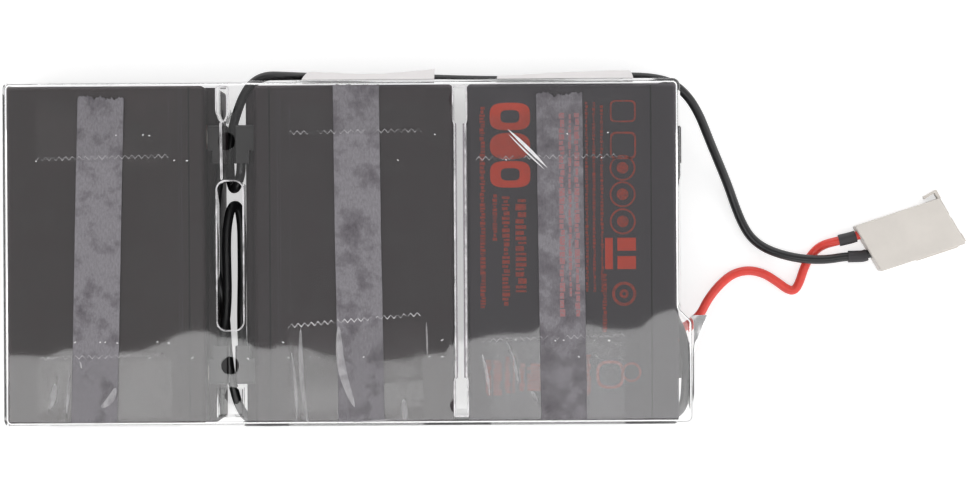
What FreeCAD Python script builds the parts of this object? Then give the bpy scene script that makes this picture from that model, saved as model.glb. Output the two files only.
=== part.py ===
import FreeCAD, Part
import math
import os

import Sketcher

# Battery cartridge for an uninterruptible power supply: three 12 V lead-acid batteries lie side by side under
# a clear thermoformed tray and are wired in series. Millimetres, +Z up, +X along the pack towards the plug.
# The origin lies under the middle battery, on the lowest face of the pack.


Vector = FreeCAD.Vector
Rotation = FreeCAD.Rotation
Placement = FreeCAD.Placement

document = FreeCAD.newDocument("ups_battery_cartridge")

SIZES = (
    # Battery: length along Y, height along X, thickness along Z.
    ("case_length", 151.0, "battery length"),
    ("case_thickness", 65.0, "battery thickness"),
    ("case_height", 94.0, "case foot to lid top"),
    ("lid_height", 12.0, "lid above the case joint"),
    ("case_wall", 2.2, "case wall"),
    ("cell_divider", 1.6, "wall between two cells"),
    ("cell_count", 6, "cells in a battery"),
    ("case_edge_radius", 2.0, "rounding of case and lid edges"),
    ("shelf_width", 20.0, "terminal shelf across the lid"),
    ("shelf_drop", 5.0, "shelf below the lid top"),
    ("terminal_inset", 13.0, "blade from the side face"),
    ("terminal_spread", 53.0, "blade from the battery middle"),
    ("blade_width", 6.35, "terminal blade width"),
    ("blade_thickness", 0.8, "terminal blade thickness"),
    ("blade_reach", 8.6, "blade above the shelf"),
    ("blade_bevel", 1.2, "bevel at the blade tip"),
    ("blade_hole", 1.8, "detent hole in the blade"),
    ("seal_length", 11.0, "potting seal along Y"),
    ("seal_width", 7.0, "potting seal along Z"),
    ("seal_depth", 2.0, "potting seal below the shelf"),
    ("cover_length", 112.0, "vent cover along Y"),
    ("cover_width", 24.0, "vent cover along Z"),
    ("cover_thickness", 1.6, "vent cover"),
    ("cover_slot", 1.0, "gas slot in the vent cover"),
    ("valve_diameter", 9.0, "rubber relief valve"),
    ("valve_height", 5.0, "rubber relief valve"),
    ("vent_bore", 4.0, "gas bore under a valve"),
    ("plate_height", 68.0, "plate group along X"),
    ("plate_clearance", 0.4, "plate group to cell wall"),
    ("fit_clearance", 0.1, "loose fit, each side"),
    # Blade receptacles and their boots.
    ("receptacle_lift", 0.6, "receptacle above the shelf"),
    ("receptacle_reach", 8.2, "receptacle along the blade"),
    ("receptacle_width", 7.8, "receptacle across the blade"),
    ("receptacle_thickness", 2.6, "receptacle over both curls"),
    ("slot_clearance", 0.05, "blade in its slot, each side"),
    ("barrel_height", 5.9, "crimp barrel above the receptacle's foot"),
    ("barrel_diameter", 3.4, "crimp barrel"),
    ("barrel_length", 6.0, "crimp barrel"),
    ("boot_height", 8.9, "boot above its foot"),
    ("boot_back", 5.2, "boot behind the blade"),
    ("boot_mouth", 12.0, "boot mouth from the blade"),
    ("boot_thickness", 7.4, "boot across the blade"),
    ("boot_heel", 2.2, "step under the boot's neck"),
    ("boot_edge_radius", 1.2, "rounding of the boot"),
    # Where the batteries lie.
    ("wiring_gap", 12.0, "between the lids of batteries 1 and 2"),
    ("spacer_gap", 6.2, "between the feet of batteries 2 and 3"),
    ("front_clearance", 0.2, "batteries to the tray's -Y wall"),
    ("back_clearance", 1.2, "batteries to the tray's +Y wall"),
    ("end_clearance", 0.2, "batteries to the tray's end walls"),
    ("band_thickness", 0.15, "clear packing tape"),
    ("pad_thickness", 0.3, "double-sided tape"),
    # Tray.
    ("tray_wall", 1.0, "tray side wall"),
    ("tray_floor", 1.0, "tray closed face"),
    ("tray_depth", 44.0, "closed face to rim"),
    ("rim_spread", 0.8, "widening from closed face to rim"),
    ("rim_lip", 0.5, "trimmed lip beyond the wall"),
    ("rim_lip_height", 0.8, "trimmed lip"),
    ("tray_corner_radius", 3.4, "tray corner, seen from above"),
    ("tray_edge_radius", 3.0, "rounding round the closed face"),
    ("bump_reach", 5.6, "end bump beyond the end wall"),
    ("bump_start", -25.5, "Y where the end bump begins"),
    ("probe_hole", 8.0, "round hole in the closed face"),
    ("pocket_wall", 0.8, "wall of pockets and ribs"),
    ("window_depth", 12.0, "collar of the wiring window"),
    ("window_back", 33.5, "window's +Y end from the battery middle"),
    ("window_front", 34.5, "window's -Y end from the battery middle"),
    ("window_left", 0.1, "window collar past battery 1's lid"),
    ("window_right", 0.7, "window collar past battery 2's lid"),
    ("window_corner", 2.4, "cut across the window's corners"),
    ("pillar_depth", 20.0, "pillar pocket"),
    ("pillar_width", 6.0, "pillar pocket along X"),
    ("pillar_length", 12.0, "straight part of the pillar along Y"),
    ("pillar_point", 4.6, "narrowing part of the pillar along Y"),
    ("pillar_tip_width", 2.4, "pillar tip along X"),
    ("crease_depth", 4.0, "fold from pillar to window"),
    ("well_depth", 8.0, "pocket over the jumper"),
    ("well_length", 13.2, "that pocket along Y"),
    ("well_margin", 3.0, "that pocket from the batteries' -Y faces"),
    ("rib_depth", 30.0, "long rib between batteries 2 and 3"),
    ("rib_width", 5.0, "long rib along X"),
    ("rib_end_width", 6.0, "rib ends along X"),
    ("rib_wall", 0.6, "wall of the long rib"),
    ("rib_back_margin", 0.4, "rib from the batteries' +Y faces"),
    ("rib_front_margin", 2.4, "rib from the batteries' -Y faces"),
    ("rib_end_length", 16.6, "wide part at each end of the rib"),
    ("lead_slot_width", 9.0, "exit slot of the black lead along X"),
    ("lead_slot_height", 9.5, "exit slot of the black lead along Z"),
    ("lead_slot_place", 4.4, "exit slot's middle past battery 2's lid top"),
    # Tapes.
    ("pad_width", 21.0, "double-sided tape"),
    ("pad_length", 145.2, "double-sided tape"),
    ("band_width", 60.0, "clear packing tape"),
    ("label_thickness", 0.2, "white tape"),
    ("label_width", 59.0, "white tape"),
    ("label_bottom", 29.0, "Z of the white tape's lower edge"),
    ("flap_thickness", 0.2, "clear tape on the red lead"),
    # Leads.
    ("lead_diameter", 4.2, "insulated lead"),
    ("sleeve_diameter", 5.5, "shrink sleeve"),
    ("sleeve_bend", 3.5, "last bend of a lead behind the housing"),
    # Plug, in its own frame: +X to the mating end, +Y to the left of it.
    ("plug_length", 41.3, "housing"),
    ("plug_width", 23.7, "housing"),
    ("plug_height", 13.0, "housing"),
    ("plug_rake", 12.1, "slant of both ends, degrees"),
    ("plug_edge_radius", 0.8, "rounding of the housing"),
    ("cavity_width", 8.8, "mating cavity"),
    ("cavity_height", 9.4, "mating cavity"),
    ("cavity_depth", 17.0, "mating cavity"),
    ("red_pole", 7.2, "red pole left of the axis"),
    ("black_pole", -2.6, "black pole left of the axis"),
    ("contact_width", 6.3, "contact tab"),
    ("contact_thickness", 0.8, "contact tab"),
    ("contact_length", 7.0, "contact tab in the cavity"),
    ("lead_entry", 10.0, "lead inside the housing"),
    ("lip_length", 1.6, "keying lip beyond the mating end"),
    ("lip_height", 5.0, "keying lip"),
    ("lip_notch", 2.0, "notch in the keying lip"),
    ("hook_reach", 4.2, "latch hook beyond the side"),
    ("hook_arm", 6.5, "latch hook along the side"),
    ("hook_thickness", 1.3, "latch hook"),
    ("hook_height", 6.0, "latch hook"),
    ("guide_reach", 0.7, "guide step on the right side"),
    ("guide_height", 8.0, "guide step on the right side"),
)

MITRE = math.tan(math.radians(22.5))


class Size:
    """A length with the expression over the sheet's cells that gives it."""

    def __init__(self, number, text=None):
        self.number = float(number)
        self.text = repr(float(number)) if text is None else text

    def __float__(self):
        return self.number

    def _join(self, sign, other, number):
        return Size(number, f"({self.text} {sign} {other.text})")

    def __add__(self, other):
        other = as_size(other)
        return self._join("+", other, self.number + other.number)

    def __sub__(self, other):
        other = as_size(other)
        return self._join("-", other, self.number - other.number)

    def __mul__(self, other):
        other = as_size(other)
        return self._join("*", other, self.number * other.number)

    def __truediv__(self, other):
        other = as_size(other)
        return self._join("/", other, self.number / other.number)

    def __radd__(self, other):
        return as_size(other) + self

    def __rsub__(self, other):
        return as_size(other) - self

    def __rmul__(self, other):
        return as_size(other) * self

    def __neg__(self):
        return as_size(0) - self


def as_size(value):
    """A plain number as a Size; a Size stays as it is."""
    return value if isinstance(value, Size) else Size(value)


class SizeSheet:
    """The spreadsheet of driving sizes, with one attribute for each alias."""

    def __init__(self, rows):
        self.sheet = document.addObject("Spreadsheet::Sheet", "sizes")
        for row, (alias, number, meaning) in enumerate(rows, start=1):
            self.sheet.set(f"A{row}", alias)
            self.sheet.set(f"B{row}", str(number))
            self.sheet.set(f"C{row}", meaning)
            self.sheet.setAlias(f"B{row}", alias)
            setattr(self, alias, Size(number, f"sizes.{alias}"))
        document.recompute()


S = SizeSheet(SIZES)
ZERO = Size(0)


def bind(thing, name, size):
    """Set a property from a size and keep it tied to the sheet."""
    size = as_size(size)
    setattr(thing, name, size.number)
    if "sizes." in size.text:
        thing.setExpression(name, size.text)


def place(thing, point, rotation=None):
    """Set a Placement whose base stays tied to the sheet."""
    sizes = [as_size(value) for value in point]
    turn = Rotation() if rotation is None else rotation
    thing.Placement = Placement(Vector(*[float(size) for size in sizes]), turn)
    for letter, size in zip("xyz", sizes):
        if "sizes." in size.text:
            thing.setExpression(f"Placement.Base.{letter}", size.text)


# Sketches and PartDesign features.

def new_body(name):
    return document.addObject("PartDesign::Body", name)


def new_sketch(body, name, role, offset=ZERO):
    """A sketch on one of the body's own origin planes, moved along the plane's normal."""
    offset = as_size(offset)
    sketch = body.newObject("Sketcher::SketchObject", name)
    plane = next(item for item in body.Origin.OriginFeatures if item.Role == role)
    sketch.AttachmentSupport = [(plane, "")]
    sketch.MapMode = "FlatFace"
    sketch.AttachmentOffset = Placement(Vector(0, 0, float(offset)), Rotation())
    if "sizes." in offset.text:
        sketch.setExpression("AttachmentOffset.Base.z", offset.text)
    return sketch


def pin_point(sketch, geometry, end, x, y):
    """Fix a point of a sketch at two sizes from the sketch's origin."""
    for kind, size in (("DistanceX", as_size(x)), ("DistanceY", as_size(y))):
        index = sketch.addConstraint(Sketcher.Constraint(kind, -1, 1, geometry, end, float(size)))
        if "sizes." in size.text:
            sketch.setExpression(f"Constraints[{index}]", size.text)


def draw_lines(sketch, corners, closed=True):
    """Straight lines through the corners, each corner tied to the sheet."""
    first = sketch.GeometryCount
    count = len(corners)
    lines = count if closed else count - 1
    for index in range(lines):
        start = Vector(float(corners[index][0]), float(corners[index][1]), 0)
        nxt = corners[(index + 1) % count]
        sketch.addGeometry(Part.LineSegment(start, Vector(float(nxt[0]), float(nxt[1]), 0)))
    joints = lines if closed else lines - 1
    for index in range(joints):
        after = first + (index + 1) % lines
        sketch.addConstraint(Sketcher.Constraint("Coincident", first + index, 2, after, 1))
    for index in range(lines):
        pin_point(sketch, first + index, 1, *corners[index])
    if not closed:
        pin_point(sketch, first + lines - 1, 2, *corners[-1])


def draw_rectangle(sketch, x0, x1, y0, y1):
    draw_lines(sketch, [(x0, y0), (x1, y0), (x1, y1), (x0, y1)])


def draw_circle(sketch, x, y, radius):
    centre = Vector(float(x), float(y), 0)
    index = sketch.addGeometry(Part.Circle(centre, Vector(0, 0, 1), float(radius)))
    pin_point(sketch, index, 3, x, y)
    ring = sketch.addConstraint(Sketcher.Constraint("Radius", index, float(radius)))
    sketch.setExpression(f"Constraints[{ring}]", radius.text)


def extrude(body, kind, sketch, length, reverse=False, symmetric=False, taper=None):
    """A Pad or a Pocket of a sketch. A Pad follows the sketch's normal, a Pocket goes against it."""
    feature = body.newObject(f"PartDesign::{kind}", f"{sketch.Name}_{kind.lower()}")
    feature.Profile = sketch
    bind(feature, "Length", length)
    feature.Reversed = reverse
    if symmetric:
        feature.SideType = "Symmetric"
    if taper is not None:
        feature.setExpression("TaperAngle", taper)
    document.recompute()
    return feature


def pad(body, sketch, length, **options):
    return extrude(body, "Pad", sketch, length, **options)


def pocket(body, sketch, length, **options):
    return extrude(body, "Pocket", sketch, length, **options)


def fillet(body, radius, chosen):
    """Round the edges of the body's last feature for which chosen(edge) holds."""
    base = body.Tip
    names = [f"Edge{index}" for index, edge in enumerate(base.Shape.Edges, start=1) if chosen(edge)]
    feature = body.newObject("PartDesign::Fillet", f"{body.Name}_round")
    feature.Base = (base, names)
    bind(feature, "Radius", radius)
    document.recompute()
    return feature


def pattern(body, feature, axis_role, length, occurrences):
    """Repeat a feature along one of the body's origin axes."""
    axis = next(item for item in body.Origin.OriginFeatures if item.Role == axis_role)
    repeat = body.newObject("PartDesign::LinearPattern", f"{feature.Name}_row")
    repeat.Originals = [feature]
    repeat.Direction = (axis, [""])
    bind(repeat, "Length", length)
    repeat.Occurrences = round(float(occurrences))
    repeat.setExpression("Occurrences", occurrences.text)
    body.Tip = repeat
    document.recompute()
    return repeat


def lies_at(edge, axis, level, slack=1e-4):
    """Whether both ends of an edge are at one level of an axis."""
    return all(abs(getattr(vertex.Point, axis) - float(level)) < slack for vertex in edge.Vertexes)


def runs_along(edge, axis, least):
    """Whether an edge's ends lie further apart than least along an axis."""
    values = [getattr(vertex.Point, axis) for vertex in edge.Vertexes]
    return max(values) - min(values) > float(least)


# Levels and places that several pieces share.

BATTERY_BOTTOM = S.band_thickness
BATTERY_TOP = BATTERY_BOTTOM + S.case_thickness
FLOOR_UNDERSIDE = BATTERY_TOP + S.pad_thickness
TRAY_TOP = FLOOR_UNDERSIDE + S.tray_floor
RIM = TRAY_TOP - S.tray_depth
HALF_INSIDE = (S.case_length + S.front_clearance + S.back_clearance) / 2
HALF_OUTSIDE = HALF_INSIDE + S.tray_wall
BATTERY_Y = S.front_clearance - HALF_INSIDE + S.case_length / 2
BATTERY_Z = BATTERY_BOTTOM + S.case_thickness / 2
BACK_FACE = BATTERY_Y + S.case_length / 2
FRONT_FACE = BATTERY_Y - S.case_length / 2
MIDDLE_TOP_X = -(S.case_height / 2)
MIDDLE_FOOT_X = S.case_height / 2
FIRST_TOP_X = MIDDLE_TOP_X - S.wiring_gap
FIRST_FOOT_X = FIRST_TOP_X - S.case_height
FIRST_MIDDLE_X = FIRST_TOP_X - S.case_height / 2
GAP_MIDDLE_X = MIDDLE_TOP_X - S.wiring_gap / 2
LAST_FOOT_X = MIDDLE_FOOT_X + S.spacer_gap
LAST_TOP_X = LAST_FOOT_X + S.case_height
LAST_MIDDLE_X = LAST_FOOT_X + S.case_height / 2
LEFT_OUTSIDE = FIRST_FOOT_X - S.end_clearance - S.tray_wall
RIGHT_OUTSIDE = LAST_TOP_X + S.end_clearance + S.tray_wall
BUMP_OUTSIDE = RIGHT_OUTSIDE + S.bump_reach
WALL_TAPER = "atan(sizes.rim_spread / sizes.tray_depth)"


def wall_outside(level):
    """Distance of a side wall's outer face from the tray's middle line at a level."""
    return HALF_OUTSIDE + S.rim_spread * (TRAY_TOP - level) / S.tray_depth


# Batteries. A battery is drawn with its foot at X = 0 and its lid towards +X, its middle on the X axis and
# its terminals near the -Z side, the positive one towards -Y.

JOINT_X = S.case_height - S.lid_height
SHELF_X = S.case_height - S.shelf_drop
SHELF_EDGE_Z = S.shelf_width - S.case_thickness / 2
TERMINAL_Z = S.terminal_inset - S.case_thickness / 2
COVER_Z = (S.case_thickness / 2 + SHELF_EDGE_Z) / 2
CELL_WIDTH = (S.case_length - 2 * S.case_wall - (S.cell_count - 1) * S.cell_divider) / S.cell_count
CELL_PITCH = CELL_WIDTH + S.cell_divider
FIRST_CELL_Y = S.case_wall - S.case_length / 2
CELL_ROW = (S.cell_count - 1) * CELL_PITCH


class Station:
    """Where one battery lies: the middle of its foot and the half turn that points its lid."""

    def __init__(self, number, foot_x, turn_axis):
        self.number = number
        self.foot = (foot_x, BATTERY_Y, BATTERY_Z)
        self.rotation = Rotation() if turn_axis is None else Rotation(turn_axis, 180)

    def name(self, piece):
        return f"battery_{self.number}_{piece}"

    def place(self, thing, local=(ZERO, ZERO, ZERO), own_turn=None):
        """Put a thing drawn in the battery's frame, or at a point of it, where this battery lies."""
        turn = self.rotation if own_turn is None else self.rotation.multiply(own_turn)
        place(thing, self.point(local), turn)

    def point(self, local):
        """A point of the battery's frame as sizes in the pack's frame."""
        signs = self.rotation.multVec(Vector(1, 1, 1))
        return [base + round(sign) * as_size(value)
                for base, sign, value in zip(self.foot, signs, local)]


STATIONS = (
    Station(1, FIRST_FOOT_X, Vector(1, 0, 0)),
    Station(2, MIDDLE_FOOT_X, Vector(0, 1, 0)),
    Station(3, LAST_FOOT_X, None),
)
POLES = (("positive", -1), ("negative", 1))


def battery_case(station):
    """Case with six open cells."""
    body = new_body(station.name("case"))
    half = S.case_length / 2
    outline = new_sketch(body, body.Name + "_outline", "YZ_Plane")
    draw_rectangle(outline, -half, half, -(S.case_thickness / 2), S.case_thickness / 2)
    pad(body, outline, JOINT_X)
    fillet(body, S.case_edge_radius, lambda edge: not lies_at(edge, "x", JOINT_X))
    cell = new_sketch(body, body.Name + "_cell", "YZ_Plane", JOINT_X)
    inner = S.case_thickness / 2 - S.case_wall
    draw_rectangle(cell, FIRST_CELL_Y, FIRST_CELL_Y + CELL_WIDTH, -inner, inner)
    hollow = pocket(body, cell, JOINT_X - S.case_wall)
    pattern(body, hollow, "Y_Axis", CELL_ROW, S.cell_count)
    station.place(body)


def battery_lid(station):
    """Lid with a stepped terminal shelf, potting wells, blade slots and the wells of the relief valves."""
    body = new_body(station.name("lid"))
    side = S.case_thickness / 2
    profile = new_sketch(body, body.Name + "_profile", "XZ_Plane")
    draw_lines(profile, [(JOINT_X, -side), (SHELF_X, -side), (SHELF_X, SHELF_EDGE_Z),
                         (S.case_height, SHELF_EDGE_Z), (S.case_height, side), (JOINT_X, side)])
    pad(body, profile, S.case_length, symmetric=True)

    def outer_edge(edge):
        step = lies_at(edge, "x", SHELF_X) and lies_at(edge, "z", SHELF_EDGE_Z)
        riser = lies_at(edge, "z", SHELF_EDGE_Z) and runs_along(edge, "x", 1)
        return not (step or riser or lies_at(edge, "x", JOINT_X))

    fillet(body, S.case_edge_radius, outer_edge)
    recess = new_sketch(body, body.Name + "_recess", "YZ_Plane", S.case_height)
    reach = S.cover_length / 2 + S.fit_clearance
    width = S.cover_width / 2 + S.fit_clearance
    draw_rectangle(recess, -reach, reach, COVER_Z - width, COVER_Z + width)
    pocket(body, recess, S.cover_thickness)
    first = FIRST_CELL_Y + CELL_WIDTH / 2
    for name, diameter, depth in (
            ("well", S.valve_diameter + 2 * S.fit_clearance, S.cover_thickness + S.valve_height),
            ("vent", S.vent_bore, S.lid_height)):
        hole = new_sketch(body, f"{body.Name}_{name}", "YZ_Plane", S.case_height)
        draw_circle(hole, first, COVER_Z, diameter / 2)
        pattern(body, pocket(body, hole, depth), "Y_Axis", CELL_ROW, S.cell_count)
    potting = new_sketch(body, body.Name + "_potting", "YZ_Plane", SHELF_X)
    slots = new_sketch(body, body.Name + "_slots", "YZ_Plane", SHELF_X)
    for _, side_sign in POLES:
        middle = side_sign * S.terminal_spread
        draw_rectangle(potting, middle - S.seal_length / 2, middle + S.seal_length / 2,
                       TERMINAL_Z - S.seal_width / 2, TERMINAL_Z + S.seal_width / 2)
        across = S.blade_width / 2 + S.slot_clearance
        through = S.blade_thickness / 2 + S.slot_clearance
        draw_rectangle(slots, middle - across, middle + across, TERMINAL_Z - through, TERMINAL_Z + through)
    pocket(body, potting, S.seal_depth)
    pocket(body, slots, SHELF_X - JOINT_X)
    station.place(body)


def vent_cover(station):
    """Plate over the relief valves, with a narrow gas slot at each end."""
    body = new_body(station.name("vent_cover"))
    outline = new_sketch(body, body.Name + "_outline", "YZ_Plane", S.case_height - S.cover_thickness)
    draw_rectangle(outline, -(S.cover_length / 2), S.cover_length / 2,
                   COVER_Z - S.cover_width / 2, COVER_Z + S.cover_width / 2)
    pad(body, outline, S.cover_thickness)
    slots = new_sketch(body, body.Name + "_gas_slots", "YZ_Plane", S.case_height)
    for sign in (-1, 1):
        middle = sign * (S.cover_length / 2 - 4 * S.cover_slot)
        draw_rectangle(slots, middle - S.cover_slot / 2, middle + S.cover_slot / 2,
                       COVER_Z - S.cover_width / 4, COVER_Z + S.cover_width / 4)
    pocket(body, slots, S.cover_thickness)
    station.place(body)


def cell_row(station, piece, make_one):
    """One compound of six like pieces, a cell's pitch apart along Y."""
    members = []
    for index in range(int(float(S.cell_count))):
        middle = FIRST_CELL_Y + CELL_WIDTH / 2 + index * CELL_PITCH
        members.append(make_one(f"{station.name(piece)}_{index + 1}", middle))
    group = document.addObject("Part::Compound", station.name(piece))
    group.Links = members
    station.place(group)


def one_plate_group(name, middle):
    """Plates and separators of a cell, pressed into one block."""
    block = document.addObject("Part::Box", name)
    width = CELL_WIDTH - 2 * S.plate_clearance
    depth = S.case_thickness - 2 * S.case_wall - 2 * S.plate_clearance
    bind(block, "Length", S.plate_height)
    bind(block, "Width", width)
    bind(block, "Height", depth)
    place(block, (S.case_wall, middle - width / 2, -(depth / 2)))
    return block


def one_relief_valve(name, middle):
    """Rubber cap over a cell's gas bore."""
    cap = document.addObject("Part::Cylinder", name)
    bind(cap, "Radius", S.valve_diameter / 2)
    bind(cap, "Height", S.valve_height)
    foot = S.case_height - S.cover_thickness - S.valve_height
    place(cap, (foot, middle, COVER_Z), Rotation(Vector(0, 1, 0), 90))
    return cap


def terminal(station, pole, sign):
    """Flat blade terminal with a bevelled tip and a detent hole, drawn about the shelf's surface."""
    body = new_body(station.name(f"{pole}_terminal"))
    half = S.blade_width / 2
    root = SHELF_X - JOINT_X - S.fit_clearance
    outline = new_sketch(body, body.Name + "_outline", "XY_Plane")
    draw_lines(outline, [(-root, -half), (S.blade_reach - S.blade_bevel, -half),
                         (S.blade_reach, S.blade_bevel - half), (S.blade_reach, half - S.blade_bevel),
                         (S.blade_reach - S.blade_bevel, half), (-root, half)])
    pad(body, outline, S.blade_thickness, symmetric=True)
    hole = new_sketch(body, body.Name + "_hole", "XY_Plane")
    draw_circle(hole, S.blade_reach / 2, ZERO, S.blade_hole / 2)
    pocket(body, hole, 2 * S.blade_thickness, symmetric=True)
    station.place(body, (SHELF_X, sign * S.terminal_spread, TERMINAL_Z))


def terminal_seal(station, pole, sign):
    """Potting compound that fills the well round a blade."""
    body = new_body(station.name(f"{pole}_seal"))
    block = new_sketch(body, body.Name + "_block", "YZ_Plane", -S.seal_depth)
    draw_rectangle(block, -(S.seal_length / 2), S.seal_length / 2, -(S.seal_width / 2), S.seal_width / 2)
    pad(body, block, S.seal_depth)
    slot = new_sketch(body, body.Name + "_slot", "YZ_Plane")
    draw_rectangle(slot, -(S.blade_width / 2), S.blade_width / 2,
                   -(S.blade_thickness / 2), S.blade_thickness / 2)
    pocket(body, slot, S.seal_depth)
    station.place(body, (SHELF_X, sign * S.terminal_spread, TERMINAL_Z))


# Blade receptacles and boots, drawn with the blade along +X and the lead leaving towards +Y.

RECEPTACLE_TOP = S.receptacle_lift + S.receptacle_reach
BARREL_X = S.receptacle_lift + S.barrel_height
BARREL_END_Y = S.receptacle_width / 2 + S.barrel_length


def own_turn(sign):
    """Half turn that makes a lead leave a pole towards the battery's middle."""
    return Rotation() if sign < 0 else Rotation(Vector(1, 0, 0), 180)


def receptacle(station, pole, sign):
    """Brass flag receptacle: a sleeve on the blade and a crimp barrel beside it."""
    body = new_body(station.name(f"{pole}_receptacle"))
    half = S.receptacle_width / 2
    outline = new_sketch(body, body.Name + "_outline", "XY_Plane")
    draw_rectangle(outline, S.receptacle_lift, RECEPTACLE_TOP, -half, half)
    pad(body, outline, S.receptacle_thickness, symmetric=True)
    slot = new_sketch(body, body.Name + "_slot", "YZ_Plane", RECEPTACLE_TOP)
    across = S.blade_width / 2 + S.slot_clearance
    through = S.blade_thickness / 2 + S.slot_clearance
    draw_rectangle(slot, -across, across, -through, through)
    pocket(body, slot, S.receptacle_reach)
    barrel = new_sketch(body, body.Name + "_barrel", "XZ_Plane", -half)
    draw_circle(barrel, BARREL_X, ZERO, S.barrel_diameter / 2)
    pad(body, barrel, S.barrel_length, reverse=True)
    station.place(body, (SHELF_X, sign * S.terminal_spread, TERMINAL_Z), own_turn(sign))


def boot(station, pole, sign):
    """Soft insulating boot over a receptacle, with a neck round the lead."""
    body = new_body(station.name(f"{pole}_boot"))
    top = S.receptacle_lift + S.boot_height
    neck = S.receptacle_width / 2 + S.fit_clearance
    outline = new_sketch(body, body.Name + "_outline", "XY_Plane")
    draw_lines(outline, [(S.receptacle_lift, -S.boot_back), (top, -S.boot_back), (top, S.boot_mouth),
                         (S.receptacle_lift + S.boot_heel, S.boot_mouth),
                         (S.receptacle_lift + S.boot_heel, neck + S.boot_heel),
                         (S.receptacle_lift, neck + S.boot_heel)])
    pad(body, outline, S.boot_thickness, symmetric=True)
    fillet(body, S.boot_edge_radius,
           lambda edge: not lies_at(edge, "x", S.receptacle_lift) and not lies_at(edge, "y", S.boot_mouth)
           and not lies_at(edge, "x", S.receptacle_lift + S.boot_heel)
           and not lies_at(edge, "y", neck + S.boot_heel))
    socket = new_sketch(body, body.Name + "_socket", "YZ_Plane", S.receptacle_lift)
    through = S.receptacle_thickness / 2 + S.fit_clearance
    draw_rectangle(socket, -neck, neck, -through, through)
    pocket(body, socket, S.receptacle_reach + S.fit_clearance, reverse=True)
    bore = new_sketch(body, body.Name + "_bore", "XZ_Plane", -S.boot_mouth)
    draw_circle(bore, BARREL_X, ZERO, S.lead_diameter / 2 + S.fit_clearance)
    pocket(body, bore, S.boot_mouth - S.receptacle_width / 2, reverse=True)
    station.place(body, (SHELF_X, sign * S.terminal_spread, TERMINAL_Z), own_turn(sign))


def barrel_end(station, sign):
    """Where a lead's insulation meets the crimp barrel of a pole, and the way it leaves."""
    point = station.point((SHELF_X + BARREL_X, sign * (S.terminal_spread - BARREL_END_Y), TERMINAL_Z))
    return Vector(*[float(value) for value in point])


# Tray.

def tray_outline(inset):
    """Corners of the tray seen from above, moved inwards by a wall."""
    bevel_top = S.bump_start - inset * MITRE
    bevel_bottom = bevel_top - S.bump_reach
    front = inset - HALF_OUTSIDE
    return [(LEFT_OUTSIDE + inset, front), (BUMP_OUTSIDE - inset, front),
            (BUMP_OUTSIDE - inset, bevel_bottom), (RIGHT_OUTSIDE - inset, bevel_top),
            (RIGHT_OUTSIDE - inset, -front), (LEFT_OUTSIDE + inset, -front)]


def hollow_island(body, name, outer, inner, depth, wall_below):
    """A pocket pressed down from the closed face: its outside is added, its inside is cut."""
    outside = new_sketch(body, f"{name}_outside", "XY_Plane", TRAY_TOP)
    draw_lines(outside, outer)
    pad(body, outside, depth, reverse=True)
    inside = new_sketch(body, f"{name}_inside", "XY_Plane", TRAY_TOP)
    draw_lines(inside, inner)
    pocket(body, inside, depth - wall_below if wall_below else depth + S.tray_floor)


def rectangle_corners(x0, x1, y0, y1, inset):
    return [(x0 + inset, y0 + inset), (x1 - inset, y0 + inset),
            (x1 - inset, y1 - inset), (x0 + inset, y1 - inset)]


def pillar_corners(inset):
    """Pencil shape: square at the back wall, narrowing to a blunt tip."""
    left = FIRST_TOP_X + S.fit_clearance + inset
    right = FIRST_TOP_X + S.fit_clearance + S.pillar_width - inset
    middle = FIRST_TOP_X + S.fit_clearance + S.pillar_width / 2
    half = S.pillar_tip_width / 2 - inset * MITRE
    shoulder = BACK_FACE - S.pillar_length
    tip = shoulder - S.pillar_point + inset
    return [(left, BACK_FACE - inset), (left, shoulder), (middle - half, tip), (middle + half, tip),
            (right, shoulder), (right, BACK_FACE - inset)]


def rib_corners(inset):
    """Long rib with a wider part at each end, joined by 45 degree shoulders."""
    middle = MIDDLE_FOOT_X + S.spacer_gap / 2
    wide = S.rib_end_width / 2 - inset
    slim = S.rib_width / 2 - inset
    shoulder = (S.rib_end_width - S.rib_width) / 2
    low = FRONT_FACE + S.rib_front_margin
    high = BACK_FACE - S.rib_back_margin
    front = low + S.rib_end_length
    back = high - S.rib_end_length
    right = [(middle + wide, low + inset), (middle + wide, front),
             (middle + slim, front + shoulder), (middle + slim, back - shoulder),
             (middle + wide, back), (middle + wide, high - inset)]
    left = [(2 * middle - x, y) for x, y in reversed(right)]
    return right + left


PROBE_HOLES = (
    (FIRST_TOP_X + 5.0, BACK_FACE - 10.0),
    (FIRST_TOP_X + 5.0, BACK_FACE - 25.0),
    (FIRST_TOP_X + 6.0, FRONT_FACE + 26.0),
    (FIRST_TOP_X + 7.0, FRONT_FACE + 12.5),
    (MIDDLE_FOOT_X + 2.0, BACK_FACE - 7.0),
    (MIDDLE_FOOT_X + 2.0, FRONT_FACE + 7.5),
)


def drawn_form(body, inset, top):
    """Tapered block with rounded corners and a rounded closed face: the tray's outside or its cavity."""
    outline = new_sketch(body, f"{body.Name}_outline", "XY_Plane", top)
    draw_lines(outline, tray_outline(inset))
    pad(body, outline, S.tray_depth, reverse=True, taper=WALL_TAPER)
    fillet(body, S.tray_corner_radius - inset, lambda edge: runs_along(edge, "z", S.tray_depth / 2))
    fillet(body, S.tray_edge_radius - inset, lambda edge: lies_at(edge, "z", top))


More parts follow.
